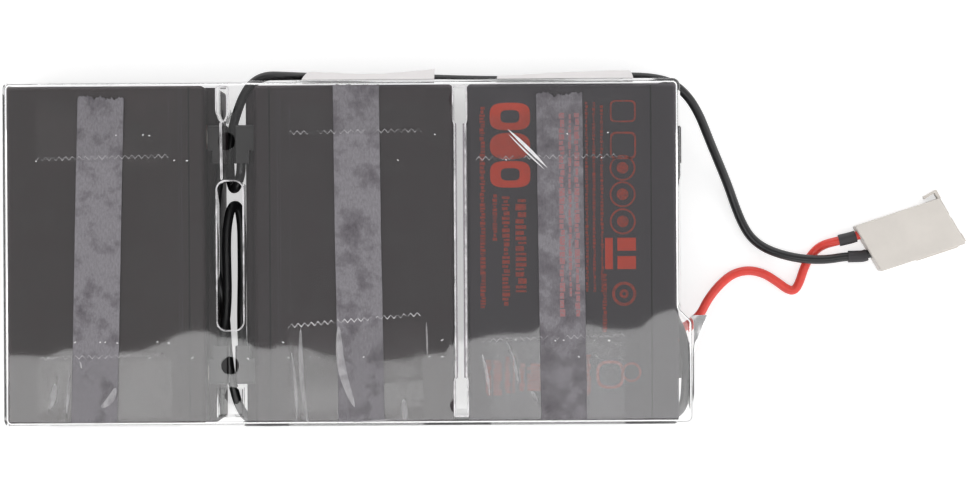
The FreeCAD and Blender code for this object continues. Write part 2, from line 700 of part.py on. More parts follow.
def tray():
    """Clear tray drawn down over the batteries, closed face up."""
    body = new_body("tray")
    drawn_form(body, ZERO, TRAY_TOP)
    lip = new_sketch(body, "tray_lip", "XY_Plane", RIM)
    draw_lines(lip, tray_outline(-(S.rim_spread + S.rim_lip)))
    pad(body, lip, S.rim_lip_height)
    core = new_body("tray_core")
    drawn_form(core, S.tray_wall, FLOOR_UNDERSIDE)
    cavity = body.newObject("PartDesign::Boolean", "tray_cavity")
    cavity.setObjects([core])
    cavity.Type = "Cut"
    document.recompute()
    tray_pockets(body)
    tray_openings(body)


def window_corners(inset):
    """Window outline with its corners cut off; inset moves every side inwards by that much."""
    left = FIRST_TOP_X - S.window_left + inset
    right = MIDDLE_TOP_X + S.window_right - inset
    low = BATTERY_Y - S.window_front + inset
    high = BATTERY_Y + S.window_back - inset
    cut = S.window_corner - inset * MITRE
    return [(left + cut, low), (right - cut, low), (right, low + cut), (right, high - cut),
            (right - cut, high), (left + cut, high), (left, high - cut), (left, low + cut)]


def wiring_window(body):
    """Open collar round the wiring."""
    outside = new_sketch(body, "window_outside", "XY_Plane", TRAY_TOP)
    draw_lines(outside, window_corners(ZERO))
    pad(body, outside, S.window_depth, reverse=True)
    inside = new_sketch(body, "window_inside", "XY_Plane", TRAY_TOP)
    draw_lines(inside, window_corners(S.pocket_wall))
    pocket(body, inside, S.window_depth + S.tray_floor)


def tray_pockets(body):
    """Spacer pockets between the batteries."""
    wiring_window(body)
    hollow_island(body, "pillar", pillar_corners(ZERO), pillar_corners(S.pocket_wall),
                  S.pillar_depth, S.pocket_wall)
    middle = FIRST_TOP_X + S.fit_clearance + S.pillar_width / 2
    half = S.pillar_tip_width / 2
    low = BATTERY_Y + S.window_back
    high = BACK_FACE - S.pillar_length - S.pillar_point
    hollow_island(body, "crease",
                  rectangle_corners(middle - half, middle + half, low, high, ZERO),
                  rectangle_corners(middle - half, middle + half, low - S.pocket_wall,
                                    high + 2 * S.pocket_wall, S.pocket_wall),
                  S.crease_depth, S.pocket_wall)
    low = FRONT_FACE + S.well_margin
    well = (FIRST_TOP_X, MIDDLE_TOP_X, low, low + S.well_length)
    hollow_island(body, "well", rectangle_corners(*well, ZERO), rectangle_corners(*well, S.pocket_wall),
                  S.well_depth, S.pocket_wall)
    hollow_island(body, "rib", rib_corners(ZERO), rib_corners(S.rib_wall), S.rib_depth, S.rib_wall)


def tray_openings(body):
    """Round holes in the closed face and the exit slot in the back wall."""
    holes = new_sketch(body, "probe_holes", "XY_Plane", TRAY_TOP)
    for x, y in PROBE_HOLES:
        draw_circle(holes, x, as_size(y), S.probe_hole / 2)
    pocket(body, holes, S.tray_floor + S.well_depth)
    slot = new_sketch(body, "lead_slot", "XZ_Plane", -(HALF_INSIDE - S.tray_wall))
    half = S.lead_slot_width / 2
    middle = MIDDLE_TOP_X + S.lead_slot_place
    bottom = TRAY_TOP - S.tray_edge_radius - S.lead_slot_height
    draw_rectangle(slot, middle - half, middle + half, bottom, bottom + S.lead_slot_height)
    pocket(body, slot, 4 * S.tray_wall)


# Tapes.

TAPE_CORNER = 0.56


def flat_pad(name, x, y, lean):
    """Strip of double-sided tape between a battery and the tray, from its middle."""
    strip = document.addObject("Part::Box", name)
    bind(strip, "Length", S.pad_width)
    bind(strip, "Width", S.pad_length)
    bind(strip, "Height", S.pad_thickness)
    turn = Rotation(Vector(0, 0, 1), lean)
    cos, sin = turn.multVec(Vector(1, 0, 0))[:2]
    corner_x = x - (S.pad_width * cos - S.pad_length * sin) / 2
    corner_y = BATTERY_Y + y - (S.pad_width * sin + S.pad_length * cos) / 2
    place(strip, (corner_x, corner_y, BATTERY_TOP), turn)


def bent_sheet(name, points, thickness, middle_x, width):
    """Thin sheet: an open profile seen along X, given a thickness outwards and a width along X."""
    profile = document.addObject("Sketcher::SketchObject", f"{name}_profile")
    draw_lines(profile, points, closed=False)
    profile.Placement = Placement(Vector(0, 0, 0), Rotation(Vector(1, 1, 1), 120))
    document.recompute()
    band = document.addObject("Part::Offset2D", f"{name}_band")
    band.Source = profile
    band.Mode = "Skin"
    band.Join = "Intersection"
    band.Fill = True
    bind(band, "Value", -thickness)
    document.recompute()
    sheet = document.addObject("Part::Extrusion", name)
    sheet.Base = band
    sheet.DirMode = "Custom"
    sheet.Dir = Vector(1, 0, 0)
    sheet.Solid = True
    sheet.Symmetric = True
    bind(sheet, "LengthFwd", width)
    place(sheet, (middle_x, ZERO, ZERO))
    document.recompute()


def tray_side(sign):
    """Profile of a long side of the tray from the closed face to under the rim, for sign +1 or -1."""
    cut = S.tray_edge_radius * TAPE_CORNER
    lip_top = RIM + S.rim_lip_height
    lip = HALF_OUTSIDE + S.rim_spread + S.rim_lip
    face = S.case_length / 2 + sign * BATTERY_Y
    points = [(HALF_OUTSIDE - cut, TRAY_TOP), (wall_outside(TRAY_TOP - cut), TRAY_TOP - cut),
              (wall_outside(lip_top), lip_top), (lip, lip_top), (lip, RIM),
              (face, RIM - 3 * S.rim_lip_height)]
    return [(sign * y, z) for y, z in points]


def clear_band(name, middle_x, back_end, front_end):
    """Packing tape from the closed face round the back, under the batteries and up the front."""
    back_face = (BACK_FACE, BATTERY_BOTTOM)
    front_face = (FRONT_FACE, BATTERY_BOTTOM)
    front = list(reversed(tray_side(-1)))
    points = ([(BATTERY_Y + back_end, TRAY_TOP)] + tray_side(1) + [back_face, front_face] + front
              + [(BATTERY_Y - front_end, TRAY_TOP)])
    bent_sheet(name, points, S.band_thickness, as_size(middle_x), S.band_width)


def white_tape(name, middle_x, stand_off):
    """White tape from the closed face's back edge down over the black lead."""
    cut = S.tray_edge_radius * TAPE_CORNER
    lift = 2 * S.band_thickness
    edge = HALF_OUTSIDE - cut
    points = [(edge - 1.5 * S.tray_wall, TRAY_TOP + lift), (edge, TRAY_TOP + lift),
              (HALF_OUTSIDE + lift, TRAY_TOP - cut),
              (HALF_OUTSIDE + lift + stand_off[0], TRAY_TOP - 2 * S.tray_edge_radius),
              (HALF_OUTSIDE + lift + stand_off[1], TRAY_TOP - 5 * S.tray_edge_radius),
              (HALF_OUTSIDE + lift + stand_off[2], S.label_bottom)]
    bent_sheet(name, points, S.label_thickness, as_size(middle_x), S.label_width)


def lead_flap():
    """Clear tape on the end bump that leans out over the root of the red lead."""
    body = new_body("clear_lead_tape")
    wall = BUMP_OUTSIDE + S.rim_spread
    profile = new_sketch(body, "flap_profile", "XZ_Plane", 29.5)
    thick = S.flap_thickness
    draw_lines(profile, [(wall, RIM + 16.0), (wall + thick, RIM + 16.0), (wall + thick, RIM + 5.0),
                         (wall + 10.0, RIM - 4.0), (wall + 10.0, RIM - 4.0 - thick),
                         (wall, RIM + 5.0 - thick)])
    pad(body, profile, 18.5)
    trim = new_sketch(body, "flap_trim", "XY_Plane", RIM + 16.0)
    draw_lines(trim, [(wall + 3 * thick, -48.5), (wall + 20.0, -48.5), (wall + 20.0, -29.0),
                      (wall + 9.0, -29.0)])
    pocket(body, trim, 30.0)
    return body


# Leads and jumpers: straight runs joined by tangent arcs.

RUN_SHARE = 0.45
SLEEVED_SHARE = 0.8


def rounded_route(points):
    """Wire through the points, each corner an arc as large as its two runs allow, and its radii."""
    edges = []
    radii = []
    start = points[0]
    for before, corner, after in zip(points, points[1:], points[2:]):
        inwards = (before - corner).normalize()
        outwards = (after - corner).normalize()
        cut = RUN_SHARE * min(before.distanceToPoint(corner), after.distanceToPoint(corner))
        half_turn = (math.pi - inwards.getAngle(outwards)) / 2
        radius = cut / math.tan(half_turn)
        entry = corner + inwards * cut
        leave = corner + outwards * cut
        bisector = (inwards + outwards).normalize()
        middle = corner + bisector * (radius / math.cos(half_turn) - radius)
        edges.append(Part.LineSegment(start, entry).toShape())
        edges.append(Part.Arc(entry, middle, leave).toShape())
        radii.append(radius)
        start = leave
    edges.append(Part.LineSegment(start, points[-1]).toShape())
    return Part.Wire(edges), radii


def tube(name, points, diameter):
    """Round tube along a rounded route, swept from a circle tied to the sheet."""
    wire, radii = rounded_route(points)
    spine = document.addObject("Part::Feature", f"{name}_route")
    spine.Shape = wire
    circle = document.addObject("Part::Circle", f"{name}_section")
    bind(circle, "Radius", diameter / 2)
    heading = (points[1] - points[0]).normalize()
    circle.Placement = Placement(points[0], Rotation(Vector(0, 0, 1), heading))
    sweep = document.addObject("Part::Sweep", name)
    sweep.Sections = [circle]
    sweep.Spine = (spine, [f"Edge{index}" for index in range(1, len(wire.Edges) + 1)])
    sweep.Solid = True
    sweep.Frenet = False
    document.recompute()
    expected = math.pi * float(diameter) ** 2 / 4 * wire.Length
    print(f"{name}: length {wire.Length:.1f}, volume ratio {sweep.Shape.Volume / expected:.4f}, radii",
          " ".join(f"{radius:.1f}" for radius in radii))
    return sweep


def route_from(corner, steps):
    """Points of a route, each a step from a corner that stays with its battery."""
    base = Vector(*[float(size) for size in corner])
    return [base + Vector(*step) for step in steps]


GAP_TOP = (GAP_MIDDLE_X, BATTERY_Y, BATTERY_TOP)
GAP_FRONT = (GAP_MIDDLE_X, FRONT_FACE, BATTERY_BOTTOM)
END_FRONT = (LAST_TOP_X, FRONT_FACE, BATTERY_BOTTOM)
END_MIDDLE = (LAST_TOP_X, BATTERY_Y, BATTERY_BOTTOM)
LOOP_JUMPER = route_from(GAP_TOP, (
    (-4.5, -39.7, -13.0), (-3.9, -34.5, -13.3), (-2.2, -27.5, -13.9), (-0.6, -18.5, -14.3),
    (-0.2, -7.5, -14.8), (1.1, 4.0, -15.2), (3.2, 12.5, -16.2), (3.0, 19.8, -19.7), (0.8, 20.3, -25.7),
    (-0.8, 13.5, -28.7), (-0.6, 4.5, -29.2), (-0.9, -7.5, -28.2), (-0.4, -18.5, -25.7), (1.3, -27.5, -20.9),
    (3.4, -34.1, -14.8), (4.5, -39.7, -13.0),
))
LONG_JUMPER = (
    route_from(GAP_TOP, (
        (-4.5, 39.7, -13.0), (-5.2, 35.0, -13.4), (-6.8, 26.5, -14.5), (-7.6, 14.5, -15.2),
        (-7.7, 1.5, -15.3), (-7.0, -9.5, -15.5), (-4.8, -18.5, -16.3), (-3.6, -27.5, -19.6),
        (-3.4, -35.5, -24.4)))
    + route_from(GAP_FRONT, (
        (-3.3, 31.0, 35.6), (-2.6, 22.0, 30.2), (-1.4, 13.5, 24.4), (0.4, 5.6, 18.4), (4.0, -1.2, 13.4),
        (9.7, -3.2, 11.0), (20.0, -2.6, 9.3), (38.0, -2.5, 8.4), (63.0, -2.7, 8.8), (93.0, -2.5, 10.0)))
    + route_from(END_FRONT, (
        (-75.2, -2.8, 8.8), (-47.2, -2.5, 8.4), (-26.2, -2.7, 9.8), (-11.2, -2.9, 12.4), (-2.2, -2.6, 14.4),
        (3.2, 1.4, 18.4), (3.8, 9.0, 28.8)))
    + route_from(END_MIDDLE, (
        (3.5, -58.0, 37.4), (3.7, -49.5, 40.2), (3.4, -42.5, 36.2), (3.1, -36.9, 27.0), (2.7, -30.9, 17.8),
        (2.5, -22.5, 13.0), (2.5, -9.5, 11.7), (2.4, 5.5, 12.0), (2.0, 20.5, 12.6), (1.5, 31.0, 12.9),
        (1.5, 39.7, 13.0)))
)
BLACK_LEAD = (
    (-48.5, 39.2, 52.15), (-49.0, 34.6, 51.6), (-50.4, 29.2, 48.0), (-51.3, 30.2, 42.0),
    (-51.5, 37.5, 39.6), (-51.4, 47.5, 40.2), (-51.0, 57.0, 43.4), (-49.2, 65.5, 50.3),
    (-46.8, 71.5, 55.2), (-43.0, 76.5, 57.6), (-37.2, 79.7, 57.8), (-29.0, 79.9, 53.6),
    (-20.0, 80.0, 46.0), (-10.0, 80.2, 37.4), (0.0, 81.1, 28.8), (10.0, 81.4, 19.6), (22.0, 79.8, 14.4),
    (38.0, 79.0, 12.2), (56.0, 79.1, 11.8), (74.0, 79.4, 13.0), (92.0, 79.9, 15.0), (110.0, 80.3, 16.6),
    (126.0, 80.3, 17.8), (138.0, 79.8, 18.2), (147.2, 77.6, 18.2), (154.4, 71.8, 17.2),
    (160.0, 63.2, 14.6), (164.8, 51.6, 10.2), (169.6, 40.6, 6.2), (174.0, 30.2, 3.4), (177.3, 20.6, 2.4),
    (180.4, 12.8, 2.3), (184.1, 6.4, 2.3), (189.5, 1.7, 2.8), (196.6, -1.5, 4.6), (205.5, -3.8, 6.9),
    (214.2, -4.6, 7.0), (221.0, -4.3, 6.7), (227.6, -3.2, 6.5),
)
RED_LEAD = (
    (148.7, -40.2, 13.15), (151.0, -36.0, 13.0), (155.6, -33.6, 12.3), (160.4, -29.5, 10.8),
    (163.8, -22.9, 8.0), (169.2, -16.3, 5.0), (175.7, -10.9, 3.0), (183.1, -9.1, 2.3),
    (190.3, -10.6, 2.2), (196.7, -14.7, 2.2), (201.2, -18.2, 2.2), (204.4, -19.0, 2.2),
    (206.8, -15.8, 2.2), (209.1, -8.6, 2.2), (211.5, -3.8, 2.2), (215.0, 0.4, 2.7), (218.6, 2.6, 4.3),
    (223.6, 3.9, 6.1),
)


# Plug.

PLUG_PLACE = (257.5, 6.65)
PLUG_HEADING = 17.9
PLUG_SLANT = "tan(sizes.plug_rake * 1 deg)"


def slant(left):
    """How far both ends of the housing lie back at a place left of its axis."""
    factor = math.tan(math.radians(float(S.plug_rake)))
    return Size(-float(left) * factor, f"(-({as_size(left).text}) * {PLUG_SLANT})")


def plug_turn():
    return Rotation(Vector(0, 0, 1), PLUG_HEADING)


def plug_point(forward, left, up):
    """A point of the plug's frame in the pack's frame."""
    base = Vector(PLUG_PLACE[0], PLUG_PLACE[1], 0)
    return base + plug_turn().multVec(Vector(float(forward), float(left), float(up)))


def plug_housing():
    """Two-pole housing with slanted ends, a keying lip and a latch hook."""
    body = new_body("plug_housing")
    half_l = S.plug_length / 2
    half_w = S.plug_width / 2
    outline = new_sketch(body, "plug_outline", "XY_Plane")
    draw_lines(outline, [(slant(-half_w) - half_l, -half_w), (slant(-half_w) + half_l, -half_w),
                         (slant(half_w) + half_l, half_w), (slant(half_w) - half_l, half_w)])
    pad(body, outline, S.plug_height)
    fillet(body, S.plug_edge_radius, lambda edge: True)
    guide = new_sketch(body, "plug_guide", "XY_Plane")
    draw_rectangle(guide, ZERO, half_l - S.plug_edge_radius, -half_w - S.guide_reach, S.plug_edge_radius - half_w)
    pad(body, guide, S.guide_height)
    lip = new_sketch(body, "plug_lip", "XY_Plane")
    notch = S.lip_notch / 2
    middle = (S.red_pole + S.black_pole) / 2
    root = half_l - 2 * S.plug_edge_radius
    end = half_l + S.lip_length
    for low, high in ((S.plug_edge_radius - half_w, middle - notch), (middle + notch, half_w)):
        draw_lines(lip, [(slant(low) + root, low), (slant(low) + end, low),
                         (slant(high) + end, high), (slant(high) + root, high)])
    pad(body, lip, S.lip_height)
    hook = new_sketch(body, "plug_hook", "XY_Plane")
    out = half_w + S.hook_reach
    thick = S.hook_thickness
    draw_lines(hook, [(slant(half_w) + end - thick, half_w - S.plug_edge_radius),
                      (slant(half_w) + end, half_w - S.plug_edge_radius),
                      (slant(out) + end, out), (slant(out) + end - S.hook_arm, out - thick),
                      (slant(out) + end - S.hook_arm, out - 2 * thick),
                      (slant(out) + end - thick, out - thick)])
    pad(body, hook, S.hook_height)
    front = new_sketch(body, "plug_cavities", "YZ_Plane", half_l + S.plug_width / 2)
    bores = new_sketch(body, "plug_bores", "YZ_Plane", -half_l - S.plug_width / 2)
    centre = S.plug_height / 2
    for pole in (S.red_pole, S.black_pole):
        draw_rectangle(front, pole - S.cavity_width / 2, pole + S.cavity_width / 2,
                       centre - S.cavity_height / 2, centre + S.cavity_height / 2)
        draw_circle(bores, pole, centre, S.lead_diameter / 2 + S.fit_clearance)
    pocket(body, front, S.plug_width / 2 + S.cavity_depth)
    pocket(body, bores, S.plug_width / 2 + S.plug_length - S.cavity_depth, reverse=True)
    place(body, (PLUG_PLACE[0], PLUG_PLACE[1], 0), plug_turn())


def plug_contact(name, pole):
    """Tab contact with a crimp barrel round the lead's end."""
    body = new_body(name)
    floor = S.plug_length / 2 - S.cavity_depth
    start = slant(pole) - S.plug_length / 2 + S.lead_entry
    barrel = new_sketch(body, f"{name}_barrel", "YZ_Plane", start)
    draw_circle(barrel, pole, S.plug_height / 2, S.barrel_diameter / 2)
    pad(body, barrel, floor - start + S.contact_thickness)
    tab = new_sketch(body, f"{name}_tab", "YZ_Plane", floor + S.fit_clearance)
    draw_rectangle(tab, pole - S.contact_width / 2, pole + S.contact_width / 2,
                   S.plug_height / 2 - S.contact_thickness / 2, S.plug_height / 2 + S.contact_thickness / 2)
    pad(body, tab, S.contact_length)
    place(body, (PLUG_PLACE[0], PLUG_PLACE[1], 0), plug_turn())


def plug_entry(pole):
    """Points of a lead on its pole's axis: behind the housing, at the sleeve's end and at the contact."""
    face = slant(pole) - S.plug_length / 2
    middle = S.plug_height / 2
    stand_off = S.sleeve_diameter / 4
    return [plug_point(face + shift, pole, middle) for shift in (-S.sleeve_bend, -stand_off, S.lead_entry)]


def shrink_sleeve(name, points, lead):
    """Sleeve shrunk on the last stretch of a lead, ending at the housing."""
    sleeve = document.addObject("Part::Cut", name)
    sleeve.Base = tube(f"{name}_outside", points, S.sleeve_diameter)
    sleeve.Tool = lead


def build_leads():
    first, middle, last = STATIONS
    tube("loop_jumper", [barrel_end(first, 1), *LOOP_JUMPER, barrel_end(middle, -1)], S.lead_diameter)
    tube("long_jumper", [barrel_end(first, -1), *LONG_JUMPER, barrel_end(last, 1)], S.lead_diameter)
    for name, start, route, pole in (
            ("black", barrel_end(middle, 1), BLACK_LEAD, S.black_pole),
            ("red", barrel_end(last, -1), RED_LEAD, S.red_pole)):
        bend, sleeve_end, contact = plug_entry(pole)
        listed = [Vector(*point) for point in route]
        lead = tube(f"{name}_lead", [start] + listed + [bend, contact], S.lead_diameter)
        sleeve_start = bend + (listed[-1] - bend) * SLEEVED_SHARE
        shrink_sleeve(f"{name}_sleeve", [sleeve_start, bend, sleeve_end], lead)


def build_battery(station):
    battery_case(station)
    battery_lid(station)
    vent_cover(station)
    cell_row(station, "plate_groups", one_plate_group)
    cell_row(station, "relief_valves", one_relief_valve)
    for pole, sign in POLES:
        terminal(station, pole, sign)
        terminal_seal(station, pole, sign)
        receptacle(station, pole, sign)
        boot(station, pole, sign)


def node_names():
    pieces = ["case", "lid", "vent_cover", "plate_groups", "relief_valves"]
    for pole, _ in POLES:
        pieces += [f"{pole}_{kind}" for kind in ("terminal", "seal", "receptacle", "boot")]
    names = ["tray"]
    names += [station.name(piece) for station in STATIONS for piece in pieces]
    names += ["pad_tape_1", "pad_tape_2", "pad_tape_3", "clear_band_1", "clear_band_2", "clear_band_3"]
    names += ["white_tape_1", "white_tape_2", "clear_lead_tape", "loop_jumper", "long_jumper"]
    names += ["black_lead", "red_lead", "black_sleeve", "red_sleeve"]
    names += ["plug_housing", "plug_contact_red", "plug_contact_black"]
    return names


def export_nodes(names):
    """Check every object and write one file for each node."""
    document.recompute()
    for item in document.Objects:
        if "Invalid" in item.State or "Error" in item.State:
            raise RuntimeError(f"{item.Name}: {item.State}")
    os.makedirs("parts", exist_ok=True)
    for name in names:
        shape = document.getObject(name).Shape
        if shape.isNull() or not shape.isValid() or not shape.Solids:
            raise RuntimeError(f"{name}: bad shape")
        shape.exportStep(f"parts/{name}.step")
    print(f"{len(names)} nodes written")


tray()
for battery_station in STATIONS:
    build_battery(battery_station)
flat_pad("pad_tape_1", FIRST_MIDDLE_X - 6.0, -0.7, -1.5)
flat_pad("pad_tape_2", as_size(4.4), 0.7, 0.8)
flat_pad("pad_tape_3", LAST_MIDDLE_X - 5.0, -0.8, 0.7)
clear_band("clear_band_1", FIRST_MIDDLE_X - 3.0, 41.5, 47.0)
clear_band("clear_band_2", 3.0, 53.5, 31.5)
clear_band("clear_band_3", LAST_MIDDLE_X - 7.0, 41.0, 40.0)
white_tape("white_tape_1", 9.0, (3.6, 4.7, 6.4))
white_tape("white_tape_2", LAST_MIDDLE_X - 3.7, (0.6, 1.6, 3.4))
lead_flap()
build_leads()
plug_housing()
plug_contact("plug_contact_red", S.red_pole)
plug_contact("plug_contact_black", S.black_pole)
export_nodes(node_names())
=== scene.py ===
"""Looks of a battery cartridge: three sealed batteries under a clear tray, with tapes, leads and a plug.

Every size is in metres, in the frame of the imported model: X runs along the row of batteries, Y across
it and Z up, with the floor at 0. MM turns millimetres to metres.
"""

import logging
import math
from collections.abc import Sequence
from dataclasses import dataclass, field
from enum import Enum

import bpy
import numpy as np
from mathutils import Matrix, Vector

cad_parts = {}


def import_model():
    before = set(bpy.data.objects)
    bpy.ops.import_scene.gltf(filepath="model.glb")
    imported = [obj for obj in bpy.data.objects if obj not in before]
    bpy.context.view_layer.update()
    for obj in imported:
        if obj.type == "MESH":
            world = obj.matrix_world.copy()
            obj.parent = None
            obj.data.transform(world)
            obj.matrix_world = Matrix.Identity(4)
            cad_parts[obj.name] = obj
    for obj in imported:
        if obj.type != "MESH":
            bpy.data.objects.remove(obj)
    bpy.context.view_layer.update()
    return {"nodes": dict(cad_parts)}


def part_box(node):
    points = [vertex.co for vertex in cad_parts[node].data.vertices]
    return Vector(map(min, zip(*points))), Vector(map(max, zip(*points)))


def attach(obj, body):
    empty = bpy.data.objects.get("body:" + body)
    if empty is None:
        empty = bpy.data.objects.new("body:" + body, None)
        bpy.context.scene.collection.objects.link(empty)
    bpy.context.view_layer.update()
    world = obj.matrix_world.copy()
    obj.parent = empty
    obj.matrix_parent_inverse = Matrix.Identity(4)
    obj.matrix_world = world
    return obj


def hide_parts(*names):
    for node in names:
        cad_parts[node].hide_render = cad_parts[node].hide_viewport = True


MM = 0.001
WHITE = (1.0, 1.0, 1.0, 1.0)
# Heights of the thin sheets, from the last battery's face and from the tray's closed face.
LINES_ABOVE_FACE = 0.004 * MM
PRINT_ABOVE_FACE = 0.005 * MM
STRIPS_ABOVE_TRAY = 0.01 * MM
EDGES_BELOW_TRAY = 0.03 * MM
FILM_ABOVE_TRAY = 0.16 * MM
RING_SIDES = 48
LEAF_STEPS = 24
LOG = logging.getLogger("battery_cartridge")
Inputs = dict[int | str, object]
Socket = bpy.types.NodeSocket
Tree = bpy.types.NodeTree
Flat = tuple[float, float]
Point = tuple[float, float, float]


# Small helpers.


def linear(hex_colour: str) -> tuple[float, float, float, float]:
    """Turn an sRGB hex colour to linear light.

    Formula: c / 12.92 below 0.04045, otherwise ((c + 0.055) / 1.055) to the power 2.4.

    Args:
        hex_colour: six hex digits.

    Returns:
        Red, green, blue and an alpha of 1.
    """
    values = [int(hex_colour[start:start + 2], 16) / 255 for start in (0, 2, 4)]
    red, green, blue = (v / 12.92 if v < 0.04045 else ((v + 0.055) / 1.055) ** 2.4 for v in values)
    return red, green, blue, 1.0


def add_node(tree: Tree, kind: str, settings: dict[str, object] | None = None,
             inputs: Inputs | None = None) -> bpy.types.Node:
    """Add a node with its settings, and set or link its inputs.

    Args:
        tree: the material's or world's node tree.
        kind: the node's type name without "ShaderNode".
        settings: the node's own properties.
        inputs: a value or an output socket for each input, by name or number.

    Returns:
        The new node.
    """
    node = tree.nodes.new("ShaderNode" + kind)
    for name, value in (settings or {}).items():
        setattr(node, name, value)
    for key, value in (inputs or {}).items():
        if isinstance(value, Socket):
            tree.links.new(value, node.inputs[key])
        else:
            node.inputs[key].default_value = value
    return node


def add_noise(tree: Tree, place: Socket, size: float, detail: float = 2.0,
              roughness: float = 0.5) -> Socket:
    """Add noise whose largest spots have one size; its value lies mostly between 0.3 and 0.7.

    Args:
        tree: the node tree.
        place: the coordinates.
        size: the spots' size, in the unit of the coordinates.
        detail: how many finer layers lie on it.
        roughness: how strong the finer layers are.

    Returns:
        The noise's value.
    """
    inputs = {"Vector": place, "Scale": 1 / size, "Detail": detail, "Roughness": roughness}
    return add_node(tree, "TexNoise", inputs=inputs).outputs[0]


def add_range(tree: Tree, value: Socket, source: Flat, target: Flat,
              shape: str = "LINEAR") -> Socket:
    """Map a value from one range to another, and hold it there.

    Args:
        tree: the node tree.
        value: what is mapped.
        source: the value's range.
        target: the result's range.
        shape: the kind of interpolation.

    Returns:
        The mapped value.
    """
    return add_node(tree, "MapRange", {"interpolation_type": shape}, {
        "Value": value, "From Min": source[0], "From Max": source[1],
        "To Min": target[0], "To Max": target[1]}).outputs[0]


def add_blend(tree: Tree, share: Socket, first: Sequence[float], second: Sequence[float]) -> Socket:
    """Blend two colours.

    Args:
        tree: the node tree.
        share: the second colour's share.
        first: a colour in linear light.
        second: another.

    Returns:
        The blended colour.
    """
    return add_node(tree, "Mix", {"data_type": "RGBA"}, {0: share, 6: first, 7: second}).outputs[2]


def add_mix(tree: Tree, share: Socket | float, first: Socket, second: Socket) -> Socket:
    """Mix two shaders.

    Args:
        tree: the node tree.
        share: the second shader's share.
        first: a shader.
        second: another.

    Returns:
        The mixed shader.
    """
    return add_node(tree, "MixShader", inputs={0: share, 1: first, 2: second}).outputs[0]


def set_ramp(node: bpy.types.Node, stops: Sequence[Flat]) -> Socket:
    """Give a colour ramp its grey stops.

    Args:
        node: a colour ramp node.
        stops: place and grey value of each stop, in order.

    Returns:
        The ramp's colour output.
    """
    elements = node.color_ramp.elements
    while len(elements) < len(stops):
        elements.new(0.5)
    for element, (place, grey) in zip(elements, stops):
        element.position = place
        element.color = (grey, grey, grey, 1.0)
    return node.outputs["Color"]


def grid_faces(rows: int, columns: int) -> np.ndarray:
    """Faces of a grid whose vertex number is row * columns + column.

    Args:
        rows: vertices along the first parameter.
        columns: vertices along the second.

    Returns:
        One row of four vertex numbers for each face.
    """
    first = (np.arange(rows - 1)[:, None] * columns + np.arange(columns - 1)[None, :]).ravel()
    return np.stack([first, first + columns, first + columns + 1, first + 1], axis=1)


def new_piece(name: str, points: np.ndarray, faces: np.ndarray, material: bpy.types.Material,
              uv: np.ndarray | None = None, smooth: bool = True) -> bpy.types.Object:
    """Make a mesh piece that rides on the cartridge.

    Args:
        name: the piece's name.
        points: vertices, three numbers a row, in metres.
        faces: vertex numbers, one face a row.
        material: the finish.
        uv: two numbers for each vertex, or None.
        smooth: whether the faces are shaded smoothly.

    Returns:
        The new object.
    """
    mesh = bpy.data.meshes.new(name)
    mesh.from_pydata(points.reshape(-1, 3).tolist(), [], faces.tolist())
    if uv is not None:
        corners = np.empty(len(mesh.loops), np.int32)
        mesh.loops.foreach_get("vertex_index", corners)
        layer = mesh.uv_layers.new(name="UVMap")
        layer.data.foreach_set("uv", uv.reshape(-1, 2)[corners].astype(np.float32).ravel())
    mesh.polygons.foreach_set("use_smooth", np.full(len(mesh.polygons), smooth))
    mesh.update()
    piece = bpy.data.objects.new(name, mesh)
    bpy.context.scene.collection.objects.link(piece)
    piece.data.materials.append(material)
    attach(piece, "root")
    return piece


def give_wall(piece: bpy.types.Object, thickness: float) -> None:
    """Give an open sheet its thickness, outwards from its faces.

    Args:
        piece: the sheet.
        thickness: its thickness in metres.
    """
    modifier = piece.modifiers.new("wall", "SOLIDIFY")
    modifier.thickness = thickness
    modifier.offset = 1.0


# Finishes.


@dataclass(frozen=True)
class Finish:
    """A surface finish, named for what the real surface is."""

    name: str

    def surface(self, tree: Tree) -> Socket:
        """Add the surface's nodes and return its shader. Each finish has its own."""
        raise NotImplementedError

    def material(self) -> bpy.types.Material:
        """Build the material.

        Returns:
            The new material.
        """
        material = bpy.data.materials.new(self.name)
        material.use_nodes = True
        material.node_tree.nodes.clear()
        shader = self.surface(material.node_tree)
        add_node(material.node_tree, "OutputMaterial", inputs={"Surface": shader})
        return material


@dataclass(frozen=True)
class MouldedPlastic(Finish):
    """Opaque injection-moulded or dipped plastic: a fine eroded grain and a slight mottle."""

    colour: str
    roughness: float = 0.45
    grain: float = 0.6 * MM
    grain_depth: float = 0.02 * MM
    mottle: float = 0.10
    mottle_size: float = 14.0 * MM
    coat: float = 0.0

    def surface(self, tree: Tree) -> Socket:
        """Add the nodes. Grain: noise at the grain's size as a bump; mottle: slow noise on colour.

        Args:
            tree: the material's node tree.

        Returns:
            The shader.
        """
        place = add_node(tree, "TexCoord").outputs["Object"]
        slow = add_noise(tree, place, self.mottle_size, 4.0)
        fine = add_noise(tree, place, self.grain)
        base = linear(self.colour)[:3]
        dark = tuple(channel * (1 - self.mottle) for channel in base) + (1.0,)
        light = tuple(min(1.0, channel * (1 + self.mottle)) for channel in base) + (1.0,)
        colour = add_blend(tree, add_range(tree, slow, (0.35, 0.65), (0.0, 1.0)), dark, light)
        polish = add_range(tree, slow, (0.3, 0.7), (self.roughness * 0.85, self.roughness * 1.15))
        bump = add_node(tree, "Bump", inputs={"Height": fine, "Distance": self.grain_depth})
        return add_node(tree, "BsdfPrincipled", inputs={
            "Base Color": colour, "Roughness": polish, "Normal": bump.outputs[0],
            "IOR": 1.5, "Coat Weight": self.coat, "Coat Roughness": 0.15}).outputs[0]


